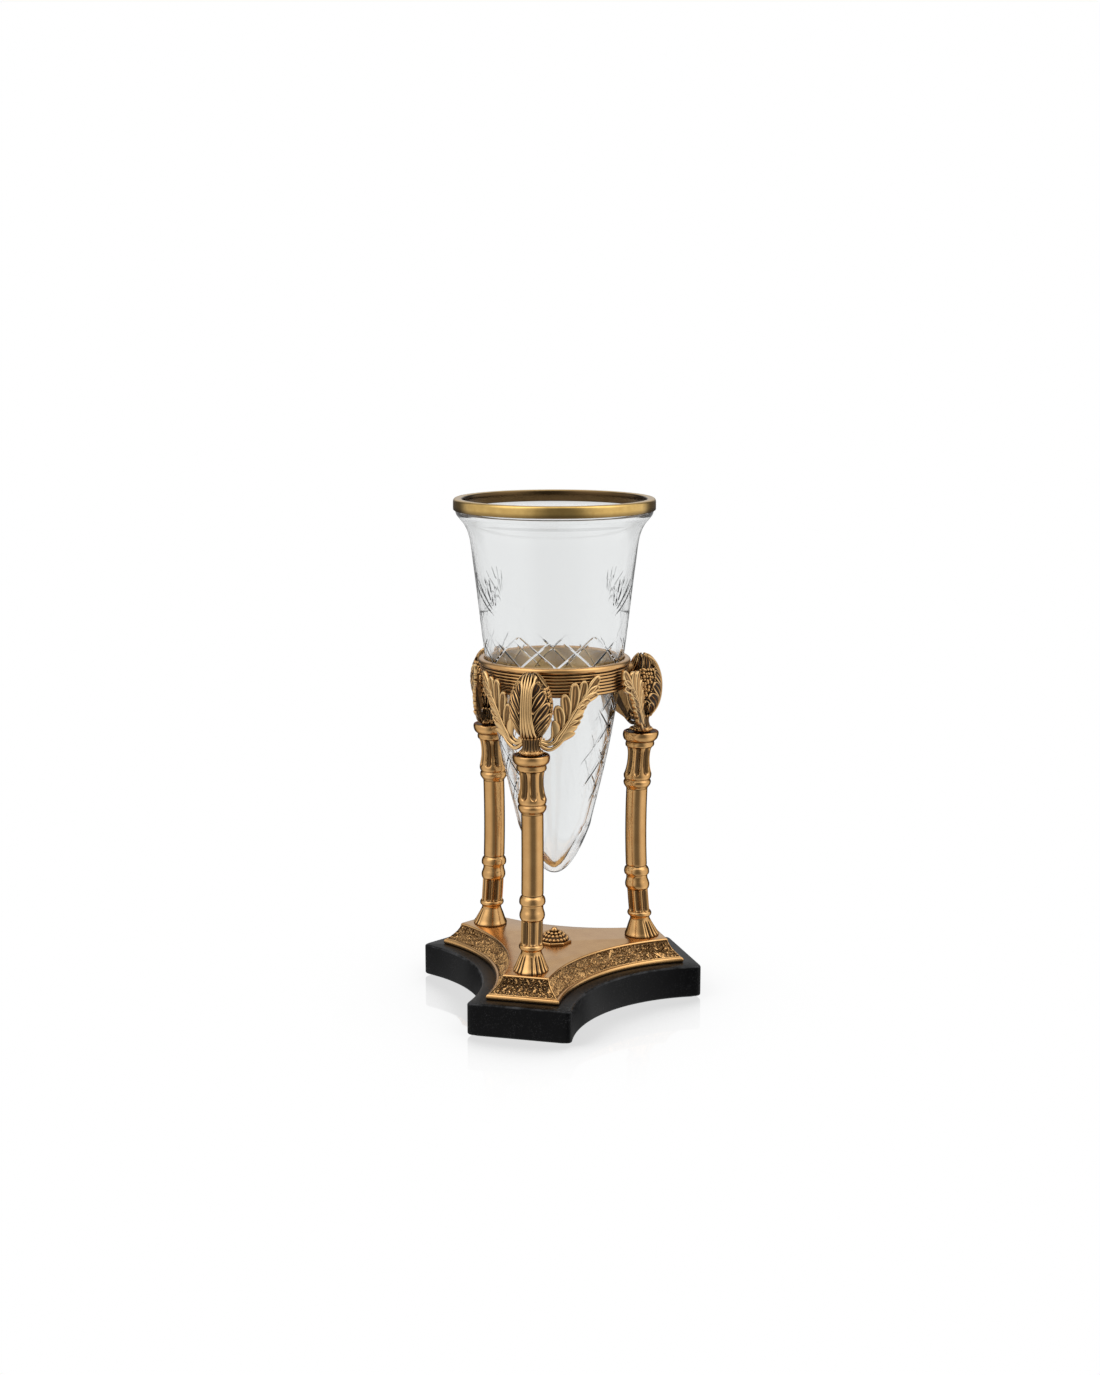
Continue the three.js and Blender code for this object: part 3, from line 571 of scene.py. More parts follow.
# Stone plinth and the outline that the plate and the felt share
plinth = {"endWidth": 73, "waist": 56, "corner": 4.2, "edge": 1.5}
plinthSteps = (10, 6, 72)  # points on half an end, a corner and a side
plinthLow, plinthHigh = nodeBox("stone_plinth")
plinthReach = -plinthLow[1]
halfArm = math.pi / 3  # from an arm to the line between two arms
cornerOut = plinthReach * math.cos(halfArm) + plinth["endWidth"] / 2 * math.sin(halfArm)
cornerAcross = plinthReach * math.sin(halfArm) - plinth["endWidth"] / 2 * math.cos(halfArm)
sideSag = cornerOut - plinth["waist"]
sideRadius = (cornerAcross ** 2 + sideSag ** 2) / (2 * sideSag)
sideCentre = plinth["waist"] + sideRadius


# outline from the middle of one end to the next
def armThird(inset, corner, endSteps, cornerSteps, sideSteps):
    reach = plinthReach - inset
    radius = sideRadius + inset
    axis = np.array([math.cos(halfArm), math.sin(halfArm)])
    centre = sideCentre * axis
    edge = centre[1] - math.sqrt(radius ** 2 - (reach - centre[0]) ** 2)
    spread = math.atan2(edge - centre[1], reach - centre[0]) % (2 * math.pi) - 4 * math.pi / 3
    corner = min(max(corner, 0.05), edge * 0.5)
    end = np.stack([np.full(endSteps, reach), np.linspace(0, edge - corner, endSteps)], 1)
    trim = corner / radius
    a = 4 * math.pi / 3 + np.linspace(spread - trim, -(spread - trim), sideSteps)
    side = centre + polar(radius, a)
    t = np.linspace(0, 1, cornerSteps + 2)[1:-1, None]
    bend = (1 - t) ** 2 * end[-1] + 2 * t * (1 - t) * np.array([reach, edge]) + t ** 2 * side[0]

    def flip(points):  # mirror in the line between two arms
        along = points @ axis
        return 2 * along[:, None] * axis - points

    return np.vstack([end, bend, side, flip(bend)[::-1], flip(end)[:0:-1]])


def armRings(line, corner, steps):  # the whole outline, front arm first, at each (inset, height) of a line
    rings = []
    for inset, height in line:
        third = armThird(inset, corner, *steps)
        flat = np.hstack([third, np.full((len(third), 1), height)])
        rings.append(np.vstack([turnAbout(flat, legTurns["front"] + 120 * k) for k in range(3)]))
    return np.array(rings)


def roundedEdges(low, high, edge, steps, inset=0):  # (inset, height) up a block with rounded edges
    a = np.linspace(0, math.pi / 2, steps)
    rise = [(inset + edge * (1 - math.sin(x)), low + edge * (1 - math.cos(x))) for x in a]
    return rise + [(inset + edge * (1 - math.cos(x)), high - edge * (1 - math.sin(x))) for x in a]


plinthLine = roundedEdges(plinthLow[2], plinthHigh[2], plinth["edge"], 5)
rings = armRings(plinthLine, plinth["corner"], plinthSteps)
worn = np.zeros(rings.shape[:2])
worn[-4:-1] = 1  # upper edge
mesh = makeMesh("plinth_block", [cappedSolid(rings, worn)], granite, 50)
addPiece("plinth_block", mesh, "stand", "stone_plinth")

feltPad = {"inset": 3, "edge": 0.3}
feltLow, feltHigh = nodeBox("felt_pad")
feltLine = roundedEdges(feltLow[2], feltHigh[2], feltPad["edge"], 3, feltPad["inset"])
rings = armRings(feltLine, plinth["corner"], plinthSteps)
mesh = makeMesh("felt_sheet", [cappedSolid(rings, np.zeros(rings.shape[:2]))], felt, 50)
addPiece("felt_sheet", mesh, "stand", "felt_pad")
print("plinth and felt made")

# Base plate: plain rounded fillet, engraved hollow, flat top
plate = {"inset": 9.8, "corner": 0.9, "filletHeight": 3.6, "filletFoot": 0.9, "filletTop": 1.5, "ledge": 1.4,
         "hollow": 1.6, "topInset": 8.8, "topEdge": 1.0, "topRound": 1.2, "border": 0.5, "relief": 0.7,
         "endPatina": 0.82, "sidePatina": 0.64,
         "scroll": {"turns": 1.5, "eye": 0.2, "petalRing": 1.18, "petalLength": 0.62, "featherLength": 0.85,
                    "stem": 0.8, "petal": 0.8, "feather": 0.75},  # these three are widths against the strands
         "fill": {"seed": 11, "tries": 5000, "margin": 0.8, "room": 0.32, "longest": 3, "widest": 0.5},
         "side": {"cornerWidth": 10, "margin": 1.2, "waves": 3, "strand": 0.8, "petals": 7},
         "end": {"foot": 4.0, "margin": 1.1, "waves": 7, "strand": 0.38, "flowerPitch": 3.5,
                 "flowerHeight": 2.4}}
scrollForm, fillForm, sideForm, endForm = (plate[key] for key in ("scroll", "fill", "side", "end"))
plateSteps = (80, 4, 320)  # points on half an end, a corner and a side
plateLow, plateHigh = nodeBox("base_plate")
bandLow, bandHigh = plate["filletHeight"], plateHigh[2] - plateLow[2] - plate["topEdge"]


def hollowInset(height):  # how far the hollow side stands in at a height
    share = np.clip((height - bandLow) / (bandHigh - bandLow), 0, 1)
    return plate["ledge"] + (plate["topInset"] - plate["ledge"]) * (1 - (1 - share) ** plate["hollow"])


def plateRings(insets, heights):
    return armRings(zip(plate["inset"] + insets, plateLow[2] + heights), plate["corner"], plateSteps)


bandHeights = np.linspace(bandLow, bandHigh, 50)
bandInsets = hollowInset(bandHeights)
bandSlope = np.concatenate([[0], np.cumsum(np.hypot(np.diff(bandHeights), np.diff(bandInsets)))])
bandWidth = bandSlope[-1]


# strokes of the engraver: points and half widths, u along the band, v up its slope
def spiralStroke(u, v, radius, start, turns, way, width):
    t = np.linspace(0, 1, 90)
    a = start + way * t * turns * 2 * math.pi
    r = radius * (1 - 0.84 * t ** 0.85)
    return polar(r, a) + (u, v), width * (1 - 0.3 * t)


def leafStroke(base, angle, length, curl, width):
    t = np.linspace(0, 1, 30)
    a = angle + curl * t
    swell = 0.4 + 1.2 * t ** 0.6 * (1 - t) ** 0.45
    return base + np.cumsum(polar(1, a) * length / 30, axis=0), width * swell


def ringStroke(u, v, radius, width):
    a = np.linspace(0, 2 * math.pi, 40)
    return polar(radius, a) + (u, v), np.full(40, width)


def lineStroke(points, width):
    p = evenSteps(curveThrough(points, 12), 0.15)
    return p, np.full(len(p), width)


# a running scroll: length, foot, top, waves and half width of its strands
def scrollCentres(length, low, high, waves, *_):  # radius, middles and directions of its spirals
    pitch, half = length / waves, (high - low) / 2
    radius = min(half * 0.66, pitch * 0.3)
    ways = [1 if k % 2 else -1 for k in range(waves)]
    return radius, [(-length / 2 + pitch * (k + 0.5), (low + high) / 2 + way * (half - radius) * 0.3, way)
                    for k, way in enumerate(ways)]


def scrollStrokes(length, low, high, waves, strand):  # spirals with stems, and leaves round them
    middle, half, pitch = (low + high) / 2, (high - low) / 2, length / waves
    radius, centres = scrollCentres(length, low, high, waves)
    petals, feathers = max(6, int(radius * 3.6)), 9 if half > 4 else 4
    ring = radius * scrollForm["petalRing"]
    petal, feather = half * scrollForm["petalLength"], half * scrollForm["featherLength"]
    strokes = []
    for u, v, way in centres:
        start = math.pi * (0.9 if way > 0 else 1.1)
        strokes.append(spiralStroke(u, v, radius, start, scrollForm["turns"], -way, strand))
        strokes.append(ringStroke(u, v, scrollForm["eye"], strand))
        stem = [(u - radius, v)] + [(u - pitch * back, middle + way * half * up)
                                    for back, up in ((0.4, -0.2), (0.5, 0), (0.62, 0.45), (0.75, 0.72))]
        strokes.append(lineStroke(stem, strand * scrollForm["stem"]))
        for a in way * math.pi * np.linspace(-0.6, 1.1, petals):  # petals all round the scroll
            base = polar(ring, a) + (u, v)
            strokes.append(leafStroke(base, a - way * 0.6, petal, way * 1.1, strand * scrollForm["petal"]))
        for t in np.linspace(0, 1, feathers):  # feathered leaf in the gap beside it
            base = (u + pitch * (0.36 + 0.26 * t), middle + way * half * (0.05 + 0.4 * t))
            angle, curl = way * math.pi * (0.16 + 0.68 * t), way * (0.9 - 1.8 * t)
            strokes.append(leafStroke(base, angle, feather, curl, strand * scrollForm["feather"]))
    return strokes


def borderStrokes(length):  # along the foot and the top of the band
    return [lineStroke([(-length, v), (0, v), (length, v)], plate["border"])
            for v in (plate["border"], bandWidth - plate["border"])]


# small leaves in the places left empty, swirling round the scrolls
def fillStrokes(strokes, centres, length):
    shaker = np.random.default_rng(fillForm["seed"])
    middles = np.array(centres)
    margin = fillForm["margin"]
    taken, wide = np.vstack([s[0] for s in strokes]), np.concatenate([s[1] for s in strokes])
    for _ in range(fillForm["tries"]):
        spot = shaker.uniform((-length / 2, margin), (length / 2, bandWidth - margin))
        room = (np.hypot(*(taken - spot).T) - wide).min()
        if room < fillForm["room"]:
            continue
        u, v, way = middles[np.hypot(*(middles[:, :2] - spot).T).argmin()]
        angle = math.atan2(spot[1] - v, spot[0] - u) + way * 0.7
        long, width = min(fillForm["longest"], 1.1 + 2.2 * room), min(fillForm["widest"], 0.26 + 0.5 * room)
        leaf, leafWide = leafStroke(spot, angle, long, way * 1.2, width)
        strokes.append((leaf, leafWide))
        taken, wide = np.vstack([taken, leaf]), np.concatenate([wide, leafWide])
    return strokes


def strandRelief(strokes, along):  # raised, rounded strands
    return smoothStep(0, 0.95, strokeShare(strokes, *np.meshgrid(along, bandSlope)))


bandRings = plateRings(bandInsets, bandHeights)
middleRow = bandRings[len(bandRings) // 2]

# long sides: scroll between two wavy corner borders with a flower in each corner
sideFrom = plateSteps[0] + plateSteps[1]
sideLine = middleRow[sideFrom:sideFrom + plateSteps[2]]
sideAlong = np.concatenate([[0], np.cumsum(np.linalg.norm(np.diff(sideLine, axis=0), axis=1))])
sideLength = sideAlong[-1]
sideAlong -= sideLength / 2
inner = sideLength / 2 - sideForm["cornerWidth"]
sideScroll = (2 * inner - 3, sideForm["margin"], bandWidth - sideForm["margin"],
              sideForm["waves"], sideForm["strand"])
sideStrokes = borderStrokes(sideLength / 2) + scrollStrokes(*sideScroll)
for way in (-1, 1):
    wavy = [(way * (inner + 3), 0.6), (way * (inner + 3.6), bandWidth * 0.3),
            (way * (inner - 0.6), bandWidth * 0.6), (way * (inner + 0.8), bandWidth - 0.6)]
    sideStrokes.append(lineStroke(wavy, plate["border"] * 1.2))
    flower = (way * (inner + 7), bandWidth * 0.42)
    sideStrokes.append(ringStroke(*flower, 0.2, 0.55))
    for n in range(sideForm["petals"]):
        a = n * math.pi * 2 / sideForm["petals"]
        sideStrokes.append(leafStroke(polar(0.8, a) + flower, a, 2.4, 0.3, 0.8))
sideStrokes = fillStrokes(sideStrokes, scrollCentres(*sideScroll)[1], sideLength)
sideRelief = strandRelief(sideStrokes, sideAlong)

# ends: small scrolls over a row of little flowers
endHalf = np.linalg.norm(middleRow[:plateSteps[0]] - middleRow[0], axis=1)
endWidth = endHalf[-1] * 2
endScroll = (endWidth - 3, endForm["foot"], bandWidth - endForm["margin"],
             endForm["waves"], endForm["strand"])
endStrokes = borderStrokes(endWidth / 2) + scrollStrokes(*endScroll)
flowers = int(endWidth / endForm["flowerPitch"])
for k in range(flowers):
    u = (k - (flowers - 1) / 2) * endForm["flowerPitch"]
    endStrokes.append(ringStroke(u, endForm["flowerHeight"], 0.95, 0.5))
    endStrokes.append(ringStroke(u, endForm["flowerHeight"], 0.1, 0.36))
for way in (-1, 1):
    u = way * (endWidth / 2 - plate["border"])
    endStrokes.append(lineStroke([(u, 0), (u, bandWidth / 2), (u, bandWidth)], plate["border"]))
endStrokes = fillStrokes(endStrokes, scrollCentres(*endScroll)[1], endWidth)
endRelief = strandRelief(endStrokes, np.concatenate([-endHalf[:0:-1], endHalf]))

middle = plateSteps[0] - 1
plain = np.ones((len(bandSlope), plateSteps[1]))
carved = np.tile(np.hstack([endRelief[:, middle:], plain, sideRelief, plain, endRelief[:, :middle]]), 3)
carved[[0, -1]] = 1
bandRings = bandRings - gridNormals(bandRings) * ((1 - carved) * plate["relief"])[..., None]

a = np.linspace(0, math.pi / 2, 4)
filletFoot, filletTop = plate["filletFoot"], plate["filletTop"]
lowRings = np.vstack([plateRings(filletFoot * (1 - np.sin(a)), filletFoot * (1 - np.cos(a))),
                      plateRings(filletTop * (1 - np.cos(a)), bandLow - filletTop * (1 - np.sin(a)))])
topRings = plateRings(plate["topInset"] + plate["topRound"] * (1 - np.cos(a[1:])),
                      bandHigh + plate["topEdge"] * np.sin(a[1:]))
rings = np.vstack([lowRings, bandRings, topRings])
column = np.arange(len(middleRow)) % (len(middleRow) // 3)
onSide = (column >= sideFrom) & (column < sideFrom + plateSteps[2])
depth = np.where(onSide, plate["sidePatina"], plate["endPatina"])
patina = np.zeros(rings.shape[:2])
patina[len(lowRings):len(lowRings) + len(bandRings)] = depth * (1 - smoothStep(0.1, 0.85, carved))
mesh = makeMesh("engraved_plate", [cappedSolid(rings, patina)], castBrass)
addPiece("engraved_plate", mesh, "stand", "base_plate")
print("plate engraved:", patina.size, "points,", round(float(carved.mean()), 2), "raised")

# Rosette in the middle of the plate
rosette = {"rimHeight": 2.0, "dome": 9.8, "domeHeight": 4.4, "sides": 96, "bead": 1.25, "beadSize": 1.1,
           "ball": 2.5, "ballHeight": 8.2,
           "beadRows": ((8.9, 3.0, 21), (6.6, 5.1, 15), (4.2, 6.5, 9))}  # radius, height, count


def octagon(angle, height, radius):  # flat sides low down, round above and dark behind the beads
    rise = height - plateHigh[2]
    flat = math.cos(math.pi / 8) / np.cos(angle % (math.pi / 4) - math.pi / 8)
    low = smoothStep(rosette["rimHeight"] + 0.3, rosette["rimHeight"], rise)
    # painted shade on the low flat sides
    side = 0.75 * smoothStep(1.6, 1.2, rise)
    return radius * (1 + low * (flat * 1.02 - 1)), np.where(low < 0.5, 0.9, side)


domeLine = [(rosette["dome"] * math.cos(x), rosette["rimHeight"] + rosette["domeHeight"] * math.sin(x))
            for x in np.linspace(0, math.pi / 2 * 0.97, 14)]
rosetteLine = np.array([(12.0, 0), (12.2, 0.3), (12.2, 1.5), (11.8, 1.9), (10.4, 2.0)] + domeLine)
rosetteLine[:, 1] += plateHigh[2]
mesh = makeMesh("rosette_boss", [ringSolid(*turnedRings(rosetteLine, rosette["sides"], octagon))], castBrass)
centres = []
for radius, rise, count in rosette["beadRows"]:
    for a in 2 * math.pi * (np.arange(count) + 0.5 * (count % 2)) / count:
        centres.append(polar(radius, a, plateHigh[2] + rise))
sizes = [rosette["beadSize"]] * len(centres) + [rosette["ball"] / rosette["bead"]]
centres.append((0, 0, plateHigh[2] + rosette["ballHeight"]))
mergeInto(mesh, beadMesh("rosette_beads", centres, sizes, rosette["bead"], castBrass))
addPiece("rosette_boss", mesh, "stand", "centre_rosette")
print("rosette made")

# Legs: hoof feet, bowed tubes and fluted capitals
leg = {"bow": 5, "topInset": 1.7, "tube": 7.5, "sides": 192, "joint": 0.3, "step": 0.4, "flutes": 8,
       "ridgeDepth": 1.3, "ridgePitch": 19, "ridgeField": (18, 94), "ridgeTop": (12.4, 9.0), "toe": 0.05,
       "hoof": 12,  # flutes: low, high, half width, depth
       "capitalFlutes": (10.2, 30.6, 2.35, 1.9), "footFlutes": (17.6, 35.2, 2.25, 1.6)}
tubeLow, tubeHigh = nodeBox("leg_tube_front")
boltLow, boltHigh = nodeBox("leg_bolt_front")
legCircle = -(boltLow[1] + boltHigh[1]) / 2
capitalTop = nodeBox("leg_capital_front")[1][2]
capitalBottom = tubeHigh[2] + leg["joint"]
bowHeight = (tubeLow[2] + tubeHigh[2]) / 2


def bowed(points):  # the leg's middle line bows towards the axis at mid height
    z = points[..., 2]
    low = 1 - ((bowHeight - z) / (bowHeight - plateHigh[2])) ** 2
    high = ((z - bowHeight) / (capitalTop - bowHeight)) ** 2
    moved = points.copy()
    moved[..., 0] += legCircle - np.where(
        z < bowHeight, leg["bow"] * low, leg["bow"] - (leg["bow"] - leg["topInset"]) * high)
    return moved


def fluted(angle, rise, radius, low, high, width, depth):  # round-ended flutes, dark inside, bright beside
    turn = 2 * math.pi / leg["flutes"]
    across = np.abs(angle % turn - turn / 2) * radius
    past = np.maximum(0, np.maximum(low + width - rise, rise - high + width))
    share = np.hypot(across, past) / width
    hollow = np.maximum(0, 1 - share ** 2)
    # painted highlight beside each flute, given as patina below zero
    ridge = smoothStep(1.7, 1.15, share) * (share > 1)
    return radius - depth * hollow, 0.75 * smoothStep(0.15, 0.7, hollow) - 0.6 * ridge


def footShape(angle, height, radius):  # ridged hoof with its toe pushed outwards
    rise = height - plateHigh[2]
    radius, shade = fluted(angle, rise, radius, *leg["footFlutes"])
    off = np.degrees(np.abs((angle + math.pi) % (2 * math.pi) - math.pi))  # degrees from the outer side
    first, last = leg["ridgeField"]
    groove = 1 - np.abs(np.sin(math.pi * (off - first) / leg["ridgePitch"])) ** 0.9
    groove = groove * smoothStep(first - 4, first, off) * smoothStep(last, last - 6, off)
    groove = groove * smoothStep(*leg["ridgeTop"], rise)
    toe = 1 + leg["toe"] * smoothStep(60, 0, off) * smoothStep(9, 2, rise)
    radius = radius * toe - leg["ridgeDepth"] * groove * (0.5 + 0.5 * radius / leg["hoof"])
    # painted shade along the bottom of the hoof, where it stands on the plate
    shade = np.maximum(shade, 0.6 * smoothStep(1.1, 0.6, rise))
    return radius, np.maximum(shade, 0.95 * smoothStep(0.2, 0.65, groove))


def capitalShape(angle, height, radius):  # fluted, with a dark dished top
    rise = height - capitalBottom
    radius, shade = fluted(angle, rise, radius, *leg["capitalFlutes"])
    return radius, np.maximum(shade, 0.75 * smoothStep(11.2, 10, radius) * (rise > 39.5))


footRuns = [  # (radius, height) above the plate
    [(11.7, 0), (12.0, 0.25), (12.0, 0.9), (10.75, 3.3), (9.15, 7.2), (7.7, 10.5), (7.0, 12.3), (7.05, 13.5),
     (7.5, 14.5)],
    [(7.5, 14.5), (8.1, 14.8), (8.5, 15.5), (8.6, 16.3), (8.4, 17.2), (7.9, 17.9), (7.5, 18.1)],
    [(7.5, 18.1), (7.5, 26), (7.5, 34.4)],
    [(7.5, 34.4), (8.1, 35.2), (8.55, 36.6), (8.65, 37.8), (8.4, 39.4), (7.8, 41.2), (7.5, 42.6), (7.6, 44.2),
     (7.9, 45)],
    [(7.9, 45), (8.5, 45.3), (8.85, 46.2), (8.9, 47.2), (8.75, 48.6), (8.2, 50), (7.6, 50.7)],
    [(7.6, 50.7), (7.4, 51), (7.3, 51.5)],
]
capitalRuns = [  # above the tube
    [(7.6, 0), (7.8, 0.5), (8.4, 1.4), (9.2, 2.6), (9.65, 4), (9.6, 5.2), (9.1, 6.1)],
    [(9.1, 6.1), (8.85, 6.4), (8.9, 6.7)],
    [(8.9, 6.7), (9.4, 7.4), (9.75, 8.8), (9.75, 10.2), (9.4, 11.6), (8.85, 14), (8.25, 17.6), (8, 21),
     (8.05, 24.6), (8.4, 27.6), (9, 29.8)],
    [(9, 29.8), (9.7, 30.2), (10.1, 31), (10.15, 32.2), (9.9, 33.4), (9.7, 33.9)],
    [(9.7, 33.9), (10.6, 34.4), (11.6, 35.4), (12.3, 36.9), (12.6, 38.6), (12.45, 40), (12, 40.8),
     (11.4, 41)],
    [(11.4, 41), (10.2, 40.6), (9, 40.3), (7, 40.2)],
]


def runLine(runs, base):
    whole = [evenSteps(curveThrough(run, 10), leg["step"]) for run in runs]
    return np.vstack([run[:-1] for run in whole[:-1]] + [whole[-1]]) + (0, base)


tubeEnds = [(leg["tube"] - 0.5, 0), (leg["tube"] - 0.1, 0.12), (leg["tube"], 0.5)]
tubeLine = np.array([(r, tubeLow[2] + h) for r, h in tubeEnds]
                    + [(leg["tube"], z) for z in np.linspace(tubeLow[2] + 2, tubeHigh[2] - 2, 26)]
                    + [(r, tubeHigh[2] - h) for r, h in tubeEnds[::-1]])
legParts = {"foot": (runLine(footRuns, plateHigh[2]), footShape), "tube": (tubeLine, None),
            "capital": (runLine(capitalRuns, capitalBottom), capitalShape)}
for part, (line, shape) in legParts.items():
    rings, shade = turnedRings(line, leg["sides"], shape)
    solid = [ringSolid(bowed(rings), shade)]
    for name, turn in legTurns.items():
        label = f"{part}_{name}"
        mesh = makeMesh(label, placed(solid, turn), turnedBrass)
        addPiece(label, mesh, "stand", f"leg_{part}_{name}")
print("legs made")

# Collar: rolled lip over fine reeds, with the ledge that carries the glass
collar = {"bore": 48.4, "top": 51.0, "foot": 49.6, "ledge": 45.55, "ledgeHeight": 3.0, "lipHeight": 4.2,
          "reeds": 7, "reedRadius": 0.88, "reedSink": 0.4, "sides": 180, "groundPatina": 0.95,
          "boreShine": 0.9}
collarLow, collarHigh = nodeBox("collar_ring")
collarFoot, lipBottom = collarLow[2], collarHigh[2] - collar["lipHeight"]
ledgeTop = collarFoot + collar["ledgeHeight"]
lipOut, foot, top = collarHigh[0], collar["foot"], collar["top"]
bore, ledge = collar["bore"], collar["ledge"]
lip = curveThrough(np.array([
    (top - 0.9, 0), (lipOut - 0.9, 0.15), (lipOut - 0.1, 1.1), (lipOut, 2.1), (lipOut - 0.5, 3.3),
    (lipOut - 1.7, 4.1), (bore + 1.2, 4.2), (bore + 0.3, 3.9), (bore, 3.2)]) + (0, lipBottom), 5)
wall = np.array([(foot - 0.9, 0), (foot - 0.3, 0.15), (foot - 0.6, 0.6)]) + (0, collarFoot)
inside = np.array([
    (bore, lipBottom + 2), (bore, ledgeTop + 4), (bore, ledgeTop + 0.6), (bore - 0.4, ledgeTop),
    (ledge + 0.4, ledgeTop), (ledge, ledgeTop - 0.4), (ledge, collarFoot + 0.4), (ledge + 0.4, collarFoot)])
rings, shade = turnedRings(np.vstack([wall, lip, inside]), collar["sides"])
shade[1:4] = collar["groundPatina"]  # behind the reeds
# painted light: the bore gets the pale crest colour so that it looks lit through the glass
shade[-len(inside):] = -collar["boreShine"]
mesh = makeMesh("reeded_collar", [loopSolid(rings, shade)], castBrass, 50)
mesh.materials.append(boreBrass)
for face in mesh.polygons:
    if math.hypot(*face.center[:2]) < (bore + 0.2) * mm:
        face.material_index = 1
reedPitch = (lipBottom - collarFoot - 0.6) / collar["reeds"]
mergeInto(mesh, grownMesh("collar_reeds", reedNodes, {
    "Count": collar["reeds"], "Foot Radius": (foot - collar["reedSink"]) * mm,
    "Top Radius": (top - collar["reedSink"]) * mm, "Foot Height": (collarFoot + 0.3 + reedPitch / 2) * mm,
    "Pitch": reedPitch * mm, "Reed Radius": collar["reedRadius"] * mm, "Finish": castBrass}))
addPiece("reeded_collar", mesh, "stand", "collar_ring")
print("collar made")

# Buds: ribbed leaf in front, veined lobes beside it, berries at the sides, neck with two rings of beads
# string of berries: degrees round the egg, height; rings: radius, height, count, size
bud = {"radius": 14.6, "back": 10.8, "neckHeight": 12, "neckRadius": 6.4, "widest": 0.48, "skin": 1.1,
       "span": 13.0, "sides": 144, "step": 0.5, "neckFlutes": 18, "fluteDepth": 0.7, "ground": 0.93,
       "bossRadius": 4, "bossHeight": 44.9, "bossSides": 24,
       "berry": {"radius": 0.68, "pitch": 1.6, "rows": (11, 34.5, 2.15), "fieldPitch": 2.35, "behind": 11,
                 "fieldEnd": 124, "shake": 0.6, "sizes": (1.5, 2.05), "out": (0.35, 0.25), "seed": 4,
                 "string": ((38, 38.6), (46, 36.4), (57, 31.6), (65, 25.7), (78, 19.2), (88, 13.6)),
                 "rings": ((7.2, 1.5, 18, 1.65), (6.9, 11.6, 20, 1.45))}}
budLow, budHigh = nodeBox("bud_front")
studLow, studHigh = nodeBox("bud_stud_front")
budAxis = -(studLow[1] + studHigh[1]) / 2
eggHeight = budHigh[2] - budLow[2] - bud["neckHeight"]
backSqueeze = bud["back"] / bud["radius"]


def eggRadius(share):
    low = np.clip(1 - share / bud["widest"], 0, 1)
    high = np.clip((share - bud["widest"]) / (1 - bud["widest"]), 0, 1)
    lower = bud["neckRadius"] + (bud["radius"] - bud["neckRadius"]) * (1 - low ** 2.2) ** 0.8
    return np.where(share < bud["widest"], lower, bud["radius"] * np.sqrt(1 - high ** 1.9))


def onBud(x, y, out):  # x round the egg, in mm at the span radius, y above its foot
    share = np.clip(y / eggHeight, 0.006, 0.99)
    slope = (eggRadius(share + 0.005) - eggRadius(share - 0.005)) / (0.01 * eggHeight)
    lean = np.hypot(1, slope)
    radius = eggRadius(share) - bud["skin"] + out / lean
    angle = x / bud["span"]
    deep = radius * np.cos(angle)
    return np.stack([deep * np.where(deep < 0, backSqueeze, 1), radius * np.sin(angle),
                     budLow[2] + bud["neckHeight"] + share * eggHeight - out * slope / lean], -1)


def budShape(angle, height, radius):  # fluted neck under a dark ground
    rise = height - budLow[2]
    neck = smoothStep(2.4, 3.6, rise) * smoothStep(11.4, 10.4, rise)
    flute = 0.5 - 0.5 * np.cos(angle * bud["neckFlutes"])
    shade = np.where(rise > bud["neckHeight"], bud["ground"], 0.65 * neck + 0.3 * neck * flute)
    return radius - bud["fluteDepth"] * flute * neck, shade


neckLine = curveThrough([(7.3, 0), (7.8, 0.5), (7.6, 2.2), (6.6, 3.4), (5.8, 5.4), (5.5, 7.5), (5.7, 9.5),
                         (6.2, 11.2), (6.4, 12)], 5)
shares = 1 - np.linspace(0.998, 0.02, 120) ** 2
ground = eggRadius(shares) - bud["skin"] * (1 + smoothStep(0.8, 1, shares))
eggLine = np.stack([ground, bud["neckHeight"] + shares * eggHeight], 1)
budLine = evenSteps(np.vstack([neckLine, eggLine[eggLine[:, 0] > 0.4]]), bud["step"]) + (0, budLow[2])
rings, shade = turnedRings(budLine, bud["sides"], budShape)
rings[..., 0] *= np.where(rings[..., 0] < 0, backSqueeze, 1)
budSolids = [ringSolid(rings, shade)]

# heights up the front leaf, and half its width there
ribHeights = np.array([0.2, 4, 9, 15, 22, 29, 34, 38, 40.6, 42])
ribHalf = np.interp(ribHeights, [0, 6, 14, 24, 33, 38, 42], [5.9, 5.3, 4.2, 3.7, 4.0, 4.8, 4.4])
for k in (-2, -1, 0, 1, 2):  # ribs of the front leaf, spreading at its foot and its tip
    spread = bud["span"] * k / 2.45 * ribHalf / eggRadius(ribHeights / eggHeight)
    reach = ribHeights - 0.35 * k ** 2 * (ribHeights > 35)
    thick = ribHalf * (0.25 if k else 0.28)
    budSolids.append(strandTube(onBud, np.stack([spread, reach], 1), thick, 14, 0.35))

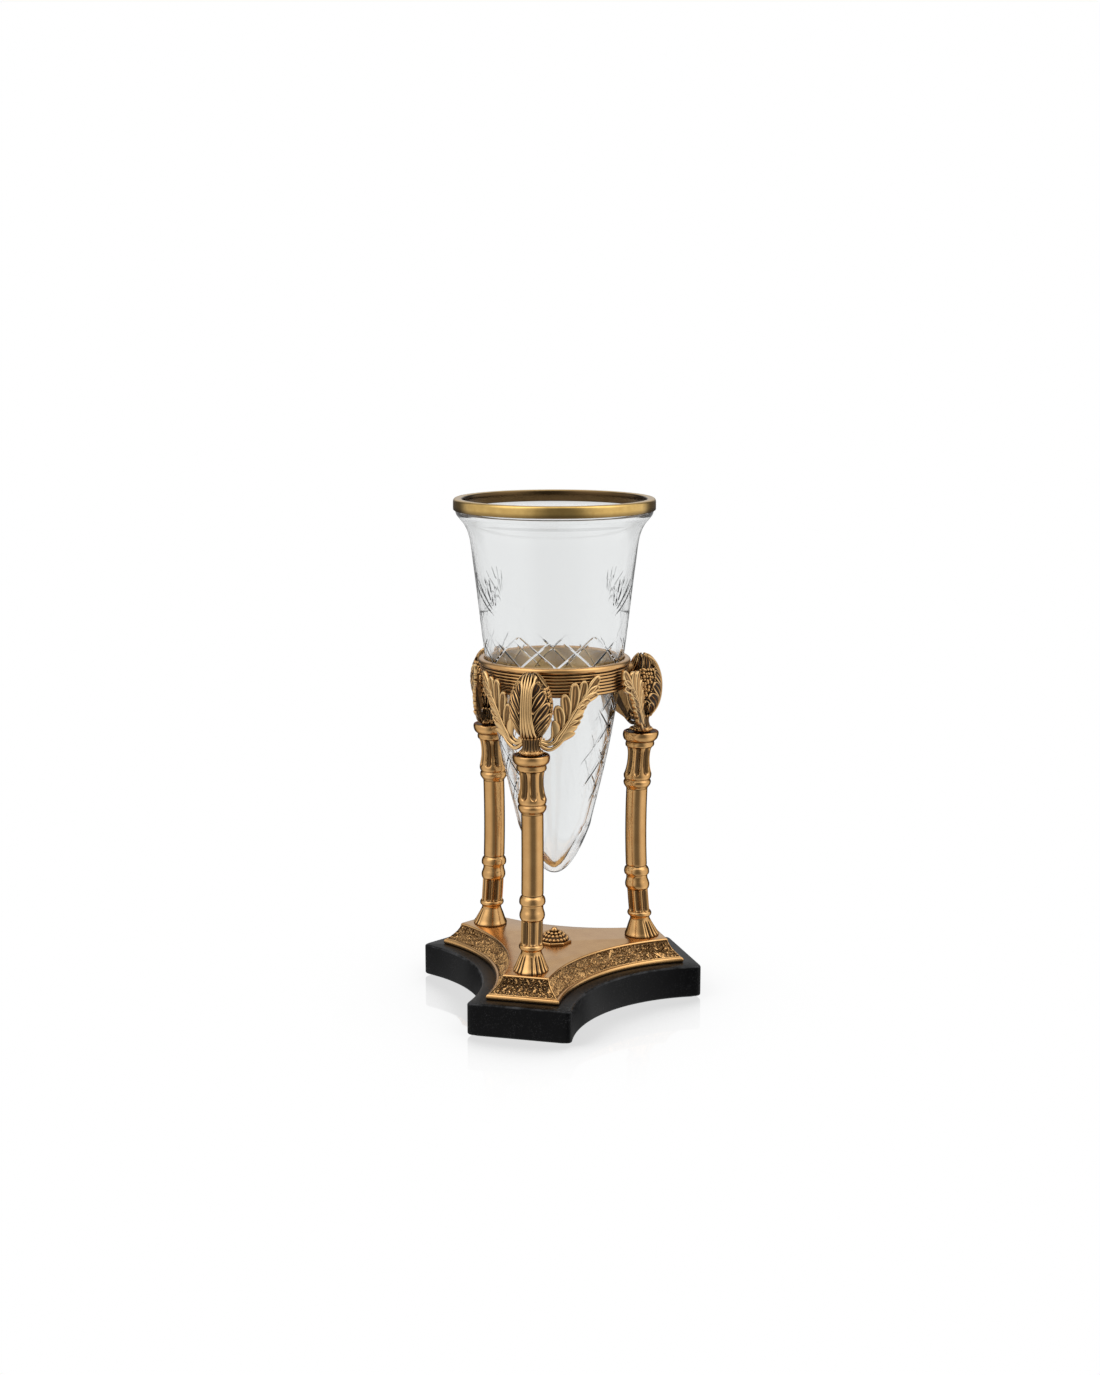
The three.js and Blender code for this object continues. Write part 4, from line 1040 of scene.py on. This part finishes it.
# base and tip round the egg, half width, bow
budLeaves = [
    ((2.6, 35.6), (8.0, 41.2), 2.1, 0.3), ((3.4, 28.5), (11.4, 37.2), 2.9, 0.5),
    ((3.4, 18.4), (14.4, 31.6), 3.5, 0.7), ((4.2, 9.2), (16.4, 24.0), 3.8, 0.8),
    ((5.8, 3.0), (19.6, 16.4), 3.7, 0.8), ((11.0, 1.0), (19.2, 9.6), 3.1, 0.5),
    ((19.5, 0.4), (22.5, 12.0), 3.6, 0.3), ((27.0, 0.4), (28.8, 16.5), 3.8, 0.3),
    ((35.0, 0.4), (35.6, 22.5), 4.0, 0.2), ((31.2, 14.0), (32.6, 32.0), 3.6, 0.3),
    ((39.0, 18.0), (38.6, 36.5), 3.8, 0.2), ((13.0, 35.0), (8.0, 41.4), 3.4, -0.4),
    ((21.0, 32.4), (17.0, 41.6), 3.8, -0.4), ((29.0, 31.0), (26.0, 41.8), 4.2, -0.3),
    ((36.8, 31.0), (35.6, 41.8), 4.4, -0.2),
]
for base, tip, width, bow in budLeaves:
    for way in (-1, 1):
        ends = (way * base[0], base[1]), (way * tip[0], tip[1])
        budSolids.append(leafShell(onBud, *ends, width, way * bow, "narrow", 0.3, 0.8))

berry = bud["berry"]
berryLine = np.array(berry["string"])
string = evenSteps(curveThrough(berryLine * (math.radians(bud["span"]), 1), 8), berry["pitch"])
stringOut, fieldOut = berry["out"]
berries = [(x, y, stringOut, 1.0) for x, y in string]
shaker = np.random.default_rng(berry["seed"])
fieldEnd = math.radians(berry["fieldEnd"]) * bud["span"]
for row, y in enumerate(np.arange(*berry["rows"])):  # field of berries behind the string
    front = math.radians(np.interp(y, berryLine[::-1, 1], berryLine[::-1, 0]) + berry["behind"])
    for x in np.arange(front * bud["span"] + row % 2 * 1.2, fieldEnd, berry["fieldPitch"]):
        shift = shaker.uniform(-berry["shake"], berry["shake"], 2)
        berries.append((x + shift[0], y + shift[1], fieldOut, shaker.uniform(*berry["sizes"])))
berries = np.array([(way * x, y, out, size) for x, y, out, size in berries for way in (-1, 1)])
beads, beadSizes = [onBud(berries[:, 0], berries[:, 1], berries[:, 2])], list(berries[:, 3])
for radius, rise, count, size in berry["rings"]:
    a = np.arange(count) * 2 * math.pi / count
    beads.append(polar(radius, a, np.full(count, budLow[2] + rise)))
    beadSizes += [size] * count
beads = np.vstack(beads)

a = np.linspace(0, 2 * math.pi, bud["bossSides"], endpoint=False)
bossAcross, bossRise = bud["bossRadius"] * np.cos(a), bud["bossRadius"] * np.sin(a)
bossRings = np.array([np.stack([np.full(len(a), -x), bossAcross, budLow[2] + bud["bossHeight"] + bossRise], 1)
                      for x in np.linspace(6, budAxis - top - 0.4, 4)])
budSolids.append(ringSolid(bossRings, np.full(bossRings.shape[:2], 0.5)))
for name, turn in legTurns.items():
    label = f"bud_casting_{name}"
    mesh = makeMesh(label, placed(budSolids, turn, budAxis), castBrass, 60)
    centres = turnAbout(beads + (budAxis, 0, 0), turn)
    mergeInto(mesh, beadMesh(label + "_beads", centres, beadSizes, berry["radius"], castBrass))
    addPiece(label, mesh, "stand", f"bud_{name}")
print("buds made:", len(beads), "beads each")

# Leaf sprays: scrolled stems from the bud's neck, leaves on both sides, laid round the collar
spray = {"wrap": 57.9, "tipRadius": 53.7, "root": 6.14, "run": 41.4, "webDark": 0.9, "webRise": 0.3,
         "webSink": 0.9}


def onSpray(x, y, out):  # x round the stand from the leg's plane, y above the capital
    share = np.clip((x - spray["root"]) / spray["run"], 0, 1.1)
    radius = budAxis + (spray["tipRadius"] - budAxis) * share ** 0.8 + out
    return polar(radius, x / spray["wrap"], capitalTop + y)


def underSpray(x, y, out):  # the same, lower and flatter
    return onSpray(x, y, out * spray["webRise"] - spray["webSink"])


broad = "broad"
# base, tip, half width, bow, kind, lift of the tip
sprayLeaves = [
    ((14.8, 8.0), (14.0, 22.8), 3.0, -1.2, None, 0.6), ((17.6, 13.0), (16.0, 32.7), 3.9, -1.0, broad, 0.5),
    ((21.8, 19.4), (20.6, 40.2), 3.8, -0.9, broad, 0.5), ((26.0, 25.4), (27.8, 47.4), 4.0, -0.8, broad, 0.5),
    ((31.0, 31.6), (35.3, 48.2), 3.5, -0.6, broad, 0.5), ((34.3, 35.6), (47.8, 49.9), 3.7, -0.4, broad, 0.9),
    ((13.5, 5.6), (27.9, 13.8), 2.9, 1.4, None, 0.6), ((16.6, 10.6), (29.6, 17.6), 2.6, 0.9, None, 0.4),
    ((18.4, 13.4), (31.8, 21.2), 2.8, 0.9, broad, 0.5), ((20.4, 16.6), (33.8, 25.4), 2.9, 1.0, broad, 0.6),
    ((22.6, 20.0), (34.6, 27.8), 2.6, 0.7, None, 0.4), ((24.6, 23.2), (36.6, 31.4), 2.8, 0.8, broad, 0.5),
    ((26.6, 26.2), (39.4, 35.2), 2.9, 0.9, broad, 0.6), ((29.8, 30.6), (46.6, 38.2), 3.0, 1.1, broad, 0.8),
    ((33.4, 34.6), (47.6, 43.0), 2.9, 0.8, broad, 0.8),
]
# path of a strand, radii along it
sprayStrands = [
    ([(4.2, 9.8), (5.8, 9.6), (8.5, 8.8), (10.9, 9.2), (12.7, 11.4), (12.9, 14.5), (12.7, 18), (13.0, 21)],
     (1.0, 1.0, 0.8, 0.4)),
    ([(4.2, 8.6), (6.2, 8.2), (10.3, 6.6), (14.3, 8.5), (16.3, 11.9), (18.9, 15.2), (22.7, 20.6),
      (26.7, 26.8), (31.5, 32.8), (36.0, 37.5), (40.7, 42.6)], (1.4, 1.35, 1.0, 0.8, 0.45)),
    ([(15.2, 8.0), (16.9, 9.5), (19.9, 14.0), (23.8, 19.6), (27.9, 25.8), (32.5, 31.6), (36.6, 36.3)],
     (0.8, 0.7, 0.4)),
    ([(4.2, 7.0), (6.0, 6.4), (8.4, 4.3), (11.8, 3.4), (16.3, 5.8), (20.5, 9.7), (23.7, 11.8)],
     (1.2, 1.5, 1.2, 0.5)),
    ([(5.0, 11.0), (6.4, 10.6), (7.4, 9.9), (8.1, 10.6), (7.6, 11.4)], (0.5, 0.65, 0.6)),
]
# a sheet behind the leaves, painted dark as the shade between them
points, faces, shade = leafShell(underSpray, (13.5, 7.0), (42.0, 44.0), 3.6, 0, None)
spraySolids = [(points, faces, np.full(len(shade), spray["webDark"]))]  # web behind the leaves
spraySolids += [leafShell(onSpray, *leaf) for leaf in sprayLeaves]
spraySolids += [strandTube(onSpray, path, radii, 12, 0.7) for path, radii in sprayStrands]
for name, turn in legTurns.items():
    for number, way in ((1, 1), (2, -1)):
        label = f"leaves_{name}_{number}"
        mesh = makeMesh(label, placed(spraySolids, turn, 0, way), castBrass, 60)
        addPiece(label, mesh, "stand", f"leaf_spray_{name}_{number}")
print("leaf sprays made")

# Glass: plain tip and flare, V cuts along two families of helices, and a star with rays over it on each side
# tip: radius and height where the body starts; reach: heights, and degrees from a panel's middle there
glass = {"wall": 3.6, "floor": 7.0, "floorReach": 22, "flare": (190, 235), "flareThinner": 1.0, "mouth": 67.6,
         "tip": (25.2, 35.4), "panel": 14.2,
         "lattice": {"turns": 12, "phase": -74.1, "crossing": 152.5, "rise": 11.0, "rows": (-9, 3),
                     "half": 0.042, "depth": 0.62, "foot": (53, 60), "tops": (170.5, 176.0),
                     "middleHigher": 14, "backLower": 12, "sideTaper": 10, "topTaper": 6,
                     "shake": 5, "seed": 7,
                     "reach": ((53, 60, 85, 103, 122, 135, 143), (0, 60, 43, 39, 47, 60, 110))},
         "star": {"top": 212.5, "half": 0.8, "depth": 0.36, "span": 45, "step": 0.4, "grey": 0.7,
                  "radius": 55}}
lattice, star = glass["lattice"], glass["star"]
glassLow, glassHigh = nodeBox("glass_cone")
tipRadius, tipHeight = glass["tip"]
bodyLine = evenSteps(curveThrough([
    (tipRadius, tipHeight), (38.5, 94), (47.6, 152.6), (55.2, 215.6), (58.4, 237.6), (61.3, 244.7),
    (66.8, 251.9), (glass["mouth"], 254.6)], 14), 0.5)
tipLine = np.array([(tipRadius * s, tipHeight * s * s) for s in np.linspace(0, 1, 40)])
outerLine = np.vstack([tipLine[:-1], bodyLine, [(glass["mouth"], 261.0)]])  # radius, height above the tip


def fromPanel(angle):  # degrees from the middle of the nearer side panel
    return (np.degrees(angle) - glass["panel"] + 90) % 180 - 90


def cutGrid(angle, height, depth):  # points of the outside, sunk by a depth
    return polar(np.interp(height, outerLine[:, 1], outerLine[:, 0]) - depth, angle, height)


cutShake = np.random.default_rng(lattice["seed"]).uniform(-lattice["shake"], lattice["shake"], 64)


def lineMask(angle, height, number):  # 1 along a cut line, tapering to 0 at its ends
    away = np.abs(fromPanel(angle))
    number = number.astype(int)
    shift = cutShake[number % len(cutShake)]
    reach = np.interp(height, *lattice["reach"]) + shift
    higher = lattice["middleHigher"] * smoothStep(40, 15, away) * (number % 2 == 0)
    upper = np.where(number % 2, *lattice["tops"]) + higher
    upper -= lattice["backLower"] * smoothStep(0.2, 0.7, np.sin(angle))
    mask = smoothStep(reach, reach - lattice["sideTaper"], away)
    mask *= smoothStep(*lattice["foot"], height + shift / 2)
    return mask * smoothStep(upper, upper - lattice["topTaper"], height)


cellMarks = np.array([0, 0.5 * lattice["half"], lattice["half"], 0.058, 0.12, 0.24, 0.38, 0.5])
cellMarks = np.concatenate([cellMarks, 1 - cellMarks[-2:0:-1]])
perCell = len(cellMarks)
around = lattice["turns"] * perCell
diagonals = np.arange(lattice["rows"][0] * perCell, lattice["rows"][1] * perCell + 1)[:, None]
first = np.arange(around)[None] + 0 * diagonals
p = first // perCell + cellMarks[first % perCell]
q = (first - diagonals) // perCell + cellMarks[(first - diagonals) % perCell]
angle = math.radians(lattice["phase"]) + (p + q) * math.pi / lattice["turns"]
height = lattice["crossing"] + lattice["rise"] * (p - q)
latticeCut = np.zeros_like(p)
for family in (p, q):
    line = np.round(family)
    groove = np.maximum(0, 1 - np.abs(family - line) / lattice["half"])
    latticeCut = np.maximum(latticeCut, groove * lineMask(angle, height, line))
latticeGrid = cutGrid(angle, height, lattice["depth"] * latticeCut)
baseAngles, beltAngles = angle[0], angle[-1]
beltLow, beltTop = height[0, 0], height[-1, 0]

# star and rays, drawn on one half of a side panel: (degrees from its middle, height)
rays = [[(0, 186), (15, 186.8), (31, 189)], [(0, 186), (0, 196), (0, 206)], [(0, 186), (6, 192), (14, 201)],
        [(38, 187), (26, 195), (12, 206)], [(37.5, 190.5), (29, 199), (20, 209)],
        [(37.5, 193.5), (34.5, 202), (31, 211)], [(39.5, 192.5), (38, 202), (36.5, 211)],
        [(41.5, 193.5), (42, 200), (42.5, 207)]]
rayStrokes = []
for ray in rays:
    line = evenSteps(curveThrough(ray, 12) * (math.radians(star["radius"]), 1), 0.15)
    share = np.linspace(0, 1, len(line))
    ends = np.minimum(share + (ray[0][0] == 0), 1 - share)  # no taper in the middle of the panel
    rayStrokes.append((line, star["half"] * (0.25 + 0.75 * np.minimum(1, 5 * ends))))
fine = np.radians(np.arange(-star["span"], star["span"] + 0.1, math.degrees(star["step"] / star["radius"])))
coarse = np.radians(np.linspace(star["span"], 180 - star["span"], 20)[1:-1])
half = np.concatenate([fine, coarse]) + math.radians(glass["panel"])
rayAngles = np.concatenate([half, half + math.pi])
rayHeights = np.arange(beltTop + 0.4, star["top"], star["step"])
angle, height = np.meshgrid(rayAngles, rayHeights)
rayCut = strokeShare(rayStrokes, np.radians(np.abs(fromPanel(angle))) * star["radius"], height)
rayGrid = cutGrid(angle, height, star["depth"] * smoothStep(0, 1, rayCut))


def plainGrid(line, angles):
    return polar(line[:, :1], angles, np.repeat(line[:, 1:], len(angles), axis=1))


def zipRings(low, lowAngles, high, highAngles):  # triangles between two rings with different counts
    turn = 2 * math.pi
    a, b = np.argsort(lowAngles % turn), np.argsort(highAngles % turn)
    lowTurn, highTurn = (lowAngles % turn)[a], (highAngles % turn)[b]
    lowTurn, highTurn = np.append(lowTurn, lowTurn[0] + turn), np.append(highTurn, highTurn[0] + turn)
    faces, i, j = [], 0, 0
    while i < len(a) or j < len(b):
        if j == len(b) or (i < len(a) and lowTurn[i + 1] <= highTurn[j + 1]):
            faces.append((low + a[i], low + a[(i + 1) % len(a)], high + b[j % len(b)]))
            i += 1
        else:
            faces.append((low + a[i % len(a)], high + b[(j + 1) % len(b)], high + b[j]))
            j += 1
    return faces


slope = np.gradient(outerLine, axis=0)
inward = np.stack([-slope[:, 1], slope[:, 0]], 1) / np.linalg.norm(slope, axis=1, keepdims=True)
atFloor = np.exp(-(outerLine[:, 1] / glass["floorReach"]) ** 2)
thick = glass["wall"] + (glass["floor"] - glass["wall"]) * atFloor
thick = thick - glass["flareThinner"] * smoothStep(*glass["flare"], outerLine[:, 1])
mouth = glassHigh[2] - glassLow[2]
innerLine = outerLine + inward * thick[:, None]
innerLine = innerLine[(innerLine[:, 0] > 0.4) & (innerLine[:, 1] < mouth - 2)]
innerLine = innerLine[np.argsort(innerLine[:, 1])][::6]
lipLine = np.array([(67.6, -1), (67.2, -0.3), (66.6, 0), (65, 0), (64.3, -0.4), (64, -1.2)]) + (0, mouth)
tipRows = outerLine[(outerLine[:, 1] > 0.01) & (outerLine[:, 1] < beltLow - 0.4)][::2]
flareRows = outerLine[(outerLine[:, 1] > rayHeights[-1] + 0.4) & (outerLine[:, 1] < mouth - 1.4)][::2]
tipGrid = plainGrid(tipRows, baseAngles)
flareGrid = plainGrid(np.vstack([flareRows, lipLine, innerLine[::-1]]), beltAngles)

index = np.arange(latticeCut.size).reshape(-1, around)
after = np.roll(index, -1, axis=1)  # rows of the lattice step along one family of lines
latticeFaces = np.stack([index[:-2], after[1:-1], after[2:], index[1:-1]], -1).reshape(-1, 4).tolist()
latticeFaces += np.stack([index[0], after[0], after[1]], 1).tolist()
latticeFaces += np.stack([index[-2], after[-1], index[-1]], 1).tolist()
# from the tip upwards: grid, its faces, painted grey shade, angles of its first and its last ring
blocks = [(tipGrid, gridFaces(*tipGrid.shape[:2]), 0, baseAngles, baseAngles),
          (latticeGrid, latticeFaces, 0, baseAngles, beltAngles),
          (rayGrid, gridFaces(*rayGrid.shape[:2]), star["grey"] * rayCut, rayAngles, rayAngles),
          (flareGrid, gridFaces(*flareGrid.shape[:2]), 0, beltAngles, beltAngles)]
points, faces, greys, count, below = [], [], [], 0, None
for grid, quads, grey, lowAngles, highAngles in blocks:
    if count:
        faces += zipRings(count - len(below), below, count, lowAngles)
    faces += [tuple(i + count for i in quad) for quad in quads]
    points.append(grid.reshape(-1, 3))
    greys.append(np.broadcast_to(grey, grid.shape[:2]).ravel())
    count += len(points[-1])
    below = highAngles
points = np.vstack(points + [[(0, 0, 0)], [(0, 0, glass["floor"])]]) + (0, 0, glassLow[2])
greys = np.concatenate(greys + [[0, 0]])
faces += [(count, (k + 1) % around, k) for k in range(around)]
faces += [(count + 1, count - around + k, count - around + (k + 1) % around) for k in range(around)]
mesh = makeMesh("cut_glass_cone", [(points, faces, greys)], crystal, 30)
addPiece("cut_glass_cone", mesh, "glass", "glass_cone")
print("glass made:", len(points), "points,", sum(len(face) - 2 for face in faces), "triangles")

# Brass strip folded over the lip of the glass
rimBand = {"outer": 68.9, "inner": 62.7, "wall": 0.95, "sides": 216, "lowerShade": 0.6, "insideDark": 0.9}
rimLow, rimHigh = (corner[2] for corner in nodeBox("rim_band"))
outer, inner, wall = rimBand["outer"], rimBand["inner"], rimBand["wall"]
outside = curveThrough([
    (outer - 0.5, rimLow), (outer - 0.1, rimLow + 0.4), (outer, rimLow + 1.4), (outer, rimLow + 4),
    (outer - 0.05, rimHigh - 2.0), (outer - 0.5, rimHigh - 0.7), (outer - 1.5, rimHigh - 0.05),
    (outer - 3.0, rimHigh), (inner + 1.4, rimHigh - 0.05), (inner + 0.4, rimHigh - 0.6),
    (inner, rimHigh - 1.8), (inner, rimLow + 1.2), (inner + 0.3, rimLow + 0.1)], 4)
within = np.array([
    (inner + wall, rimLow + 0.1), (inner + wall, rimHigh - wall - 0.2), (inner + wall + 0.2, rimHigh - wall),
    (outer - wall - 0.2, rimHigh - wall), (outer - wall, rimHigh - wall - 0.2), (outer - wall, rimLow)])
loop = np.vstack([outside, within])
rings, shade = turnedRings(loop, rimBand["sides"])
# painted shade: the outside grows darker towards its lower edge
lowerEdge = smoothStep(rimLow + 3.6, rimLow + 0.6, loop[:, 1]) * (loop[:, 0] > outer - 0.6)
shade[:] = rimBand["lowerShade"] * lowerEdge[:, None]
# painted shade inside the mouth
shade[(loop[:, 0] < inner + 1.2) & (loop[:, 1] < rimHigh - 0.4)] = rimBand["insideDark"]  # inside the mouth
mesh = makeMesh("rim_strip", [loopSolid(rings, shade)], rimBrass, 50)
addPiece("rim_strip", mesh, "glass", "rim_band")
print("rim strip made")

# CAD fasteners keep their shape and get their finish
for node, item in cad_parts.items():
    if "bolt" in node or "washer" in node or "stud" in node:
        item.material_slots[0].material = zinc
    elif "screw" in node:
        item.material_slots[0].material = turnedBrass

# Floor, light and background
studio = {"floor": 6.0, "floorGap": 0.0002, "floorThroughGlass": 0.88, "mirror": 0.3, "mirrorRoughness": 0.05,
          "mirrorReachMm": 120, "mirrorShut": (0.98, 0.72), "ambient": 0.08, "throughGlass": 0.6,
          "glassFill": 0.4, "flags": (-0.72, -0.45), "flagSqueeze": 0.3}
# degrees to the right of the camera, elevation, outer and inner half angle, upright squeeze, level
softLights = {
    "leftWall": (-76, 20, 74, 28, 0.7, 0.74), "rightWall": (92, 20, 74, 28, 0.7, 0.92),
    "front": (8, -5, 95, 20, 0.6, 0.12), "tableTop": (0, -90, 75, 40, 1.0, 0.5),
    "key": (-58, 46, 34, 8, 0.8, 0.9), "strip": (72, 44, 30, 8, 0.8, 0.9),
    "backdrop": (180, 30, 40, 15, 1.0, 0.62), "ceiling": (0, 85, 50, 20, 1.0, 1.0)}

half = studio["floor"]
floorMesh = bpy.data.meshes.new("floor")
corners = [(-half, -half, 0), (half, -half, 0), (half, half, 0), (-half, half, 0)]
floorMesh.from_pydata(corners, [], [(0, 1, 2, 3)])
floor = bpy.data.objects.new("floor", floorMesh)
scene.collection.objects.link(floor)
floor.location.z = -studio["floorGap"]
floor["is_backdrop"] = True
# white to the eye, with a faint mirror close to what stands on it
acrylic, add, shader = newFinish("white_acrylic_floor")
acrylic.node_tree.nodes.remove(shader)
path = add("ShaderNodeLightPath").outputs
seen = add("ShaderNodeMath", {"operation": "MAXIMUM"}, {
    0: path["Is Camera Ray"], 1: path["Is Transmission Ray"]})
shut = add("ShaderNodeAmbientOcclusion", {"samples": 16}, {"Distance": studio["mirrorReachMm"] * mm})
far, close = studio["mirrorShut"]
near = add("ShaderNodeMapRange", inputs={
    "Value": shut.outputs["AO"], "From Min": far, "From Max": close, "To Max": studio["mirror"]})
shown = add("ShaderNodeMix", {"data_type": "FLOAT"}, {
    "Factor": path["Is Camera Ray"], "A": studio["floorThroughGlass"], "B": 1.0})
glow = add("ShaderNodeEmission", inputs={"Color": "#FFFFFF", "Strength": shown})
gloss = add("ShaderNodeBsdfGlossy", inputs={"Color": "#FFFFFF", "Roughness": studio["mirrorRoughness"]})
mirror = add("ShaderNodeMixShader", inputs={0: near, 1: glow, 2: gloss})
clear = add("ShaderNodeBsdfTransparent")
both = add("ShaderNodeMixShader", inputs={0: seen, 1: clear, 2: mirror})
setInputs(acrylic.node_tree.nodes["Material Output"], {"Surface": both})
floorMesh.materials.append(acrylic)

world = bpy.data.worlds.new("studio")
scene.world = world
world.use_nodes = True
world.node_tree.nodes.clear()
add = partial(addNode, world.node_tree)
path = add("ShaderNodeLightPath").outputs
way = add("ShaderNodeTexCoord").outputs["Generated"]


# light round a direction, falling off between the cosines of two half angles
def lobe(aim, squeeze, outer, inner, level):
    flat = add("ShaderNodeVectorMath", {"operation": "MULTIPLY"}, {0: way, 1: (1, 1, squeeze)})
    unit = add("ShaderNodeVectorMath", {"operation": "NORMALIZE"}, {0: flat})
    facing = add("ShaderNodeVectorMath", {"operation": "DOT_PRODUCT"}, {0: unit, 1: aim})
    return add("ShaderNodeMapRange", {"interpolation_type": "SMOOTHSTEP"}, {
        "Value": facing, "From Min": outer, "From Max": inner, "To Max": level})


cameraTurn = math.atan2(cameraView["place"][1], cameraView["place"][0])
flags = lobe((math.cos(cameraTurn), math.sin(cameraTurn), 0), studio["flagSqueeze"], *studio["flags"], 1.0)
total = studio["ambient"]
for name, (turn, rise, outer, inner, squeeze, level) in softLights.items():
    turn, rise = cameraTurn + math.radians(turn), math.radians(rise)
    aim = polar(math.cos(rise), turn, math.sin(rise) * squeeze)
    aim = (aim / np.linalg.norm(aim)).tolist()
    light = lobe(aim, squeeze, math.cos(math.radians(outer)), math.cos(math.radians(inner)), level)
    if "Wall" in name:  # black flags cut the walls off behind the object
        light = add("ShaderNodeMath", {"operation": "MULTIPLY"}, {0: light, 1: flags})
    total = add("ShaderNodeMath", {"operation": "ADD"}, {0: total, 1: light})
# rays through the glass see a paler room, and its mirror images at least a fill
room = add("ShaderNodeMath", {"operation": "MINIMUM"}, {0: total, 1: 1.0})
pale = add("ShaderNodeMath", {"operation": "MULTIPLY_ADD"}, {
    0: room, 1: 1 - studio["throughGlass"], 2: studio["throughGlass"]})
inGlass = add("ShaderNodeMix", {"data_type": "FLOAT"}, {
    "Factor": path["Is Transmission Ray"], "A": total, "B": pale})
fill = add("ShaderNodeMath", {"operation": "MULTIPLY"}, {
    0: path["Is Singular Ray"], 1: studio["glassFill"]})
filled = add("ShaderNodeMath", {"operation": "MAXIMUM"}, {0: inGlass, 1: fill})
strength = add("ShaderNodeMix", {"data_type": "FLOAT"}, {
    "Factor": path["Is Camera Ray"], "A": filled, "B": 1.0})
sky = add("ShaderNodeBackground", inputs={"Color": "#FFFFFF", "Strength": strength})
add("ShaderNodeOutputWorld", inputs={"Surface": sky})
print("studio lit")

sizes = {"cad": [list(corner) for corner in cadBox], "visual": [list(corner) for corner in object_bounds()]}
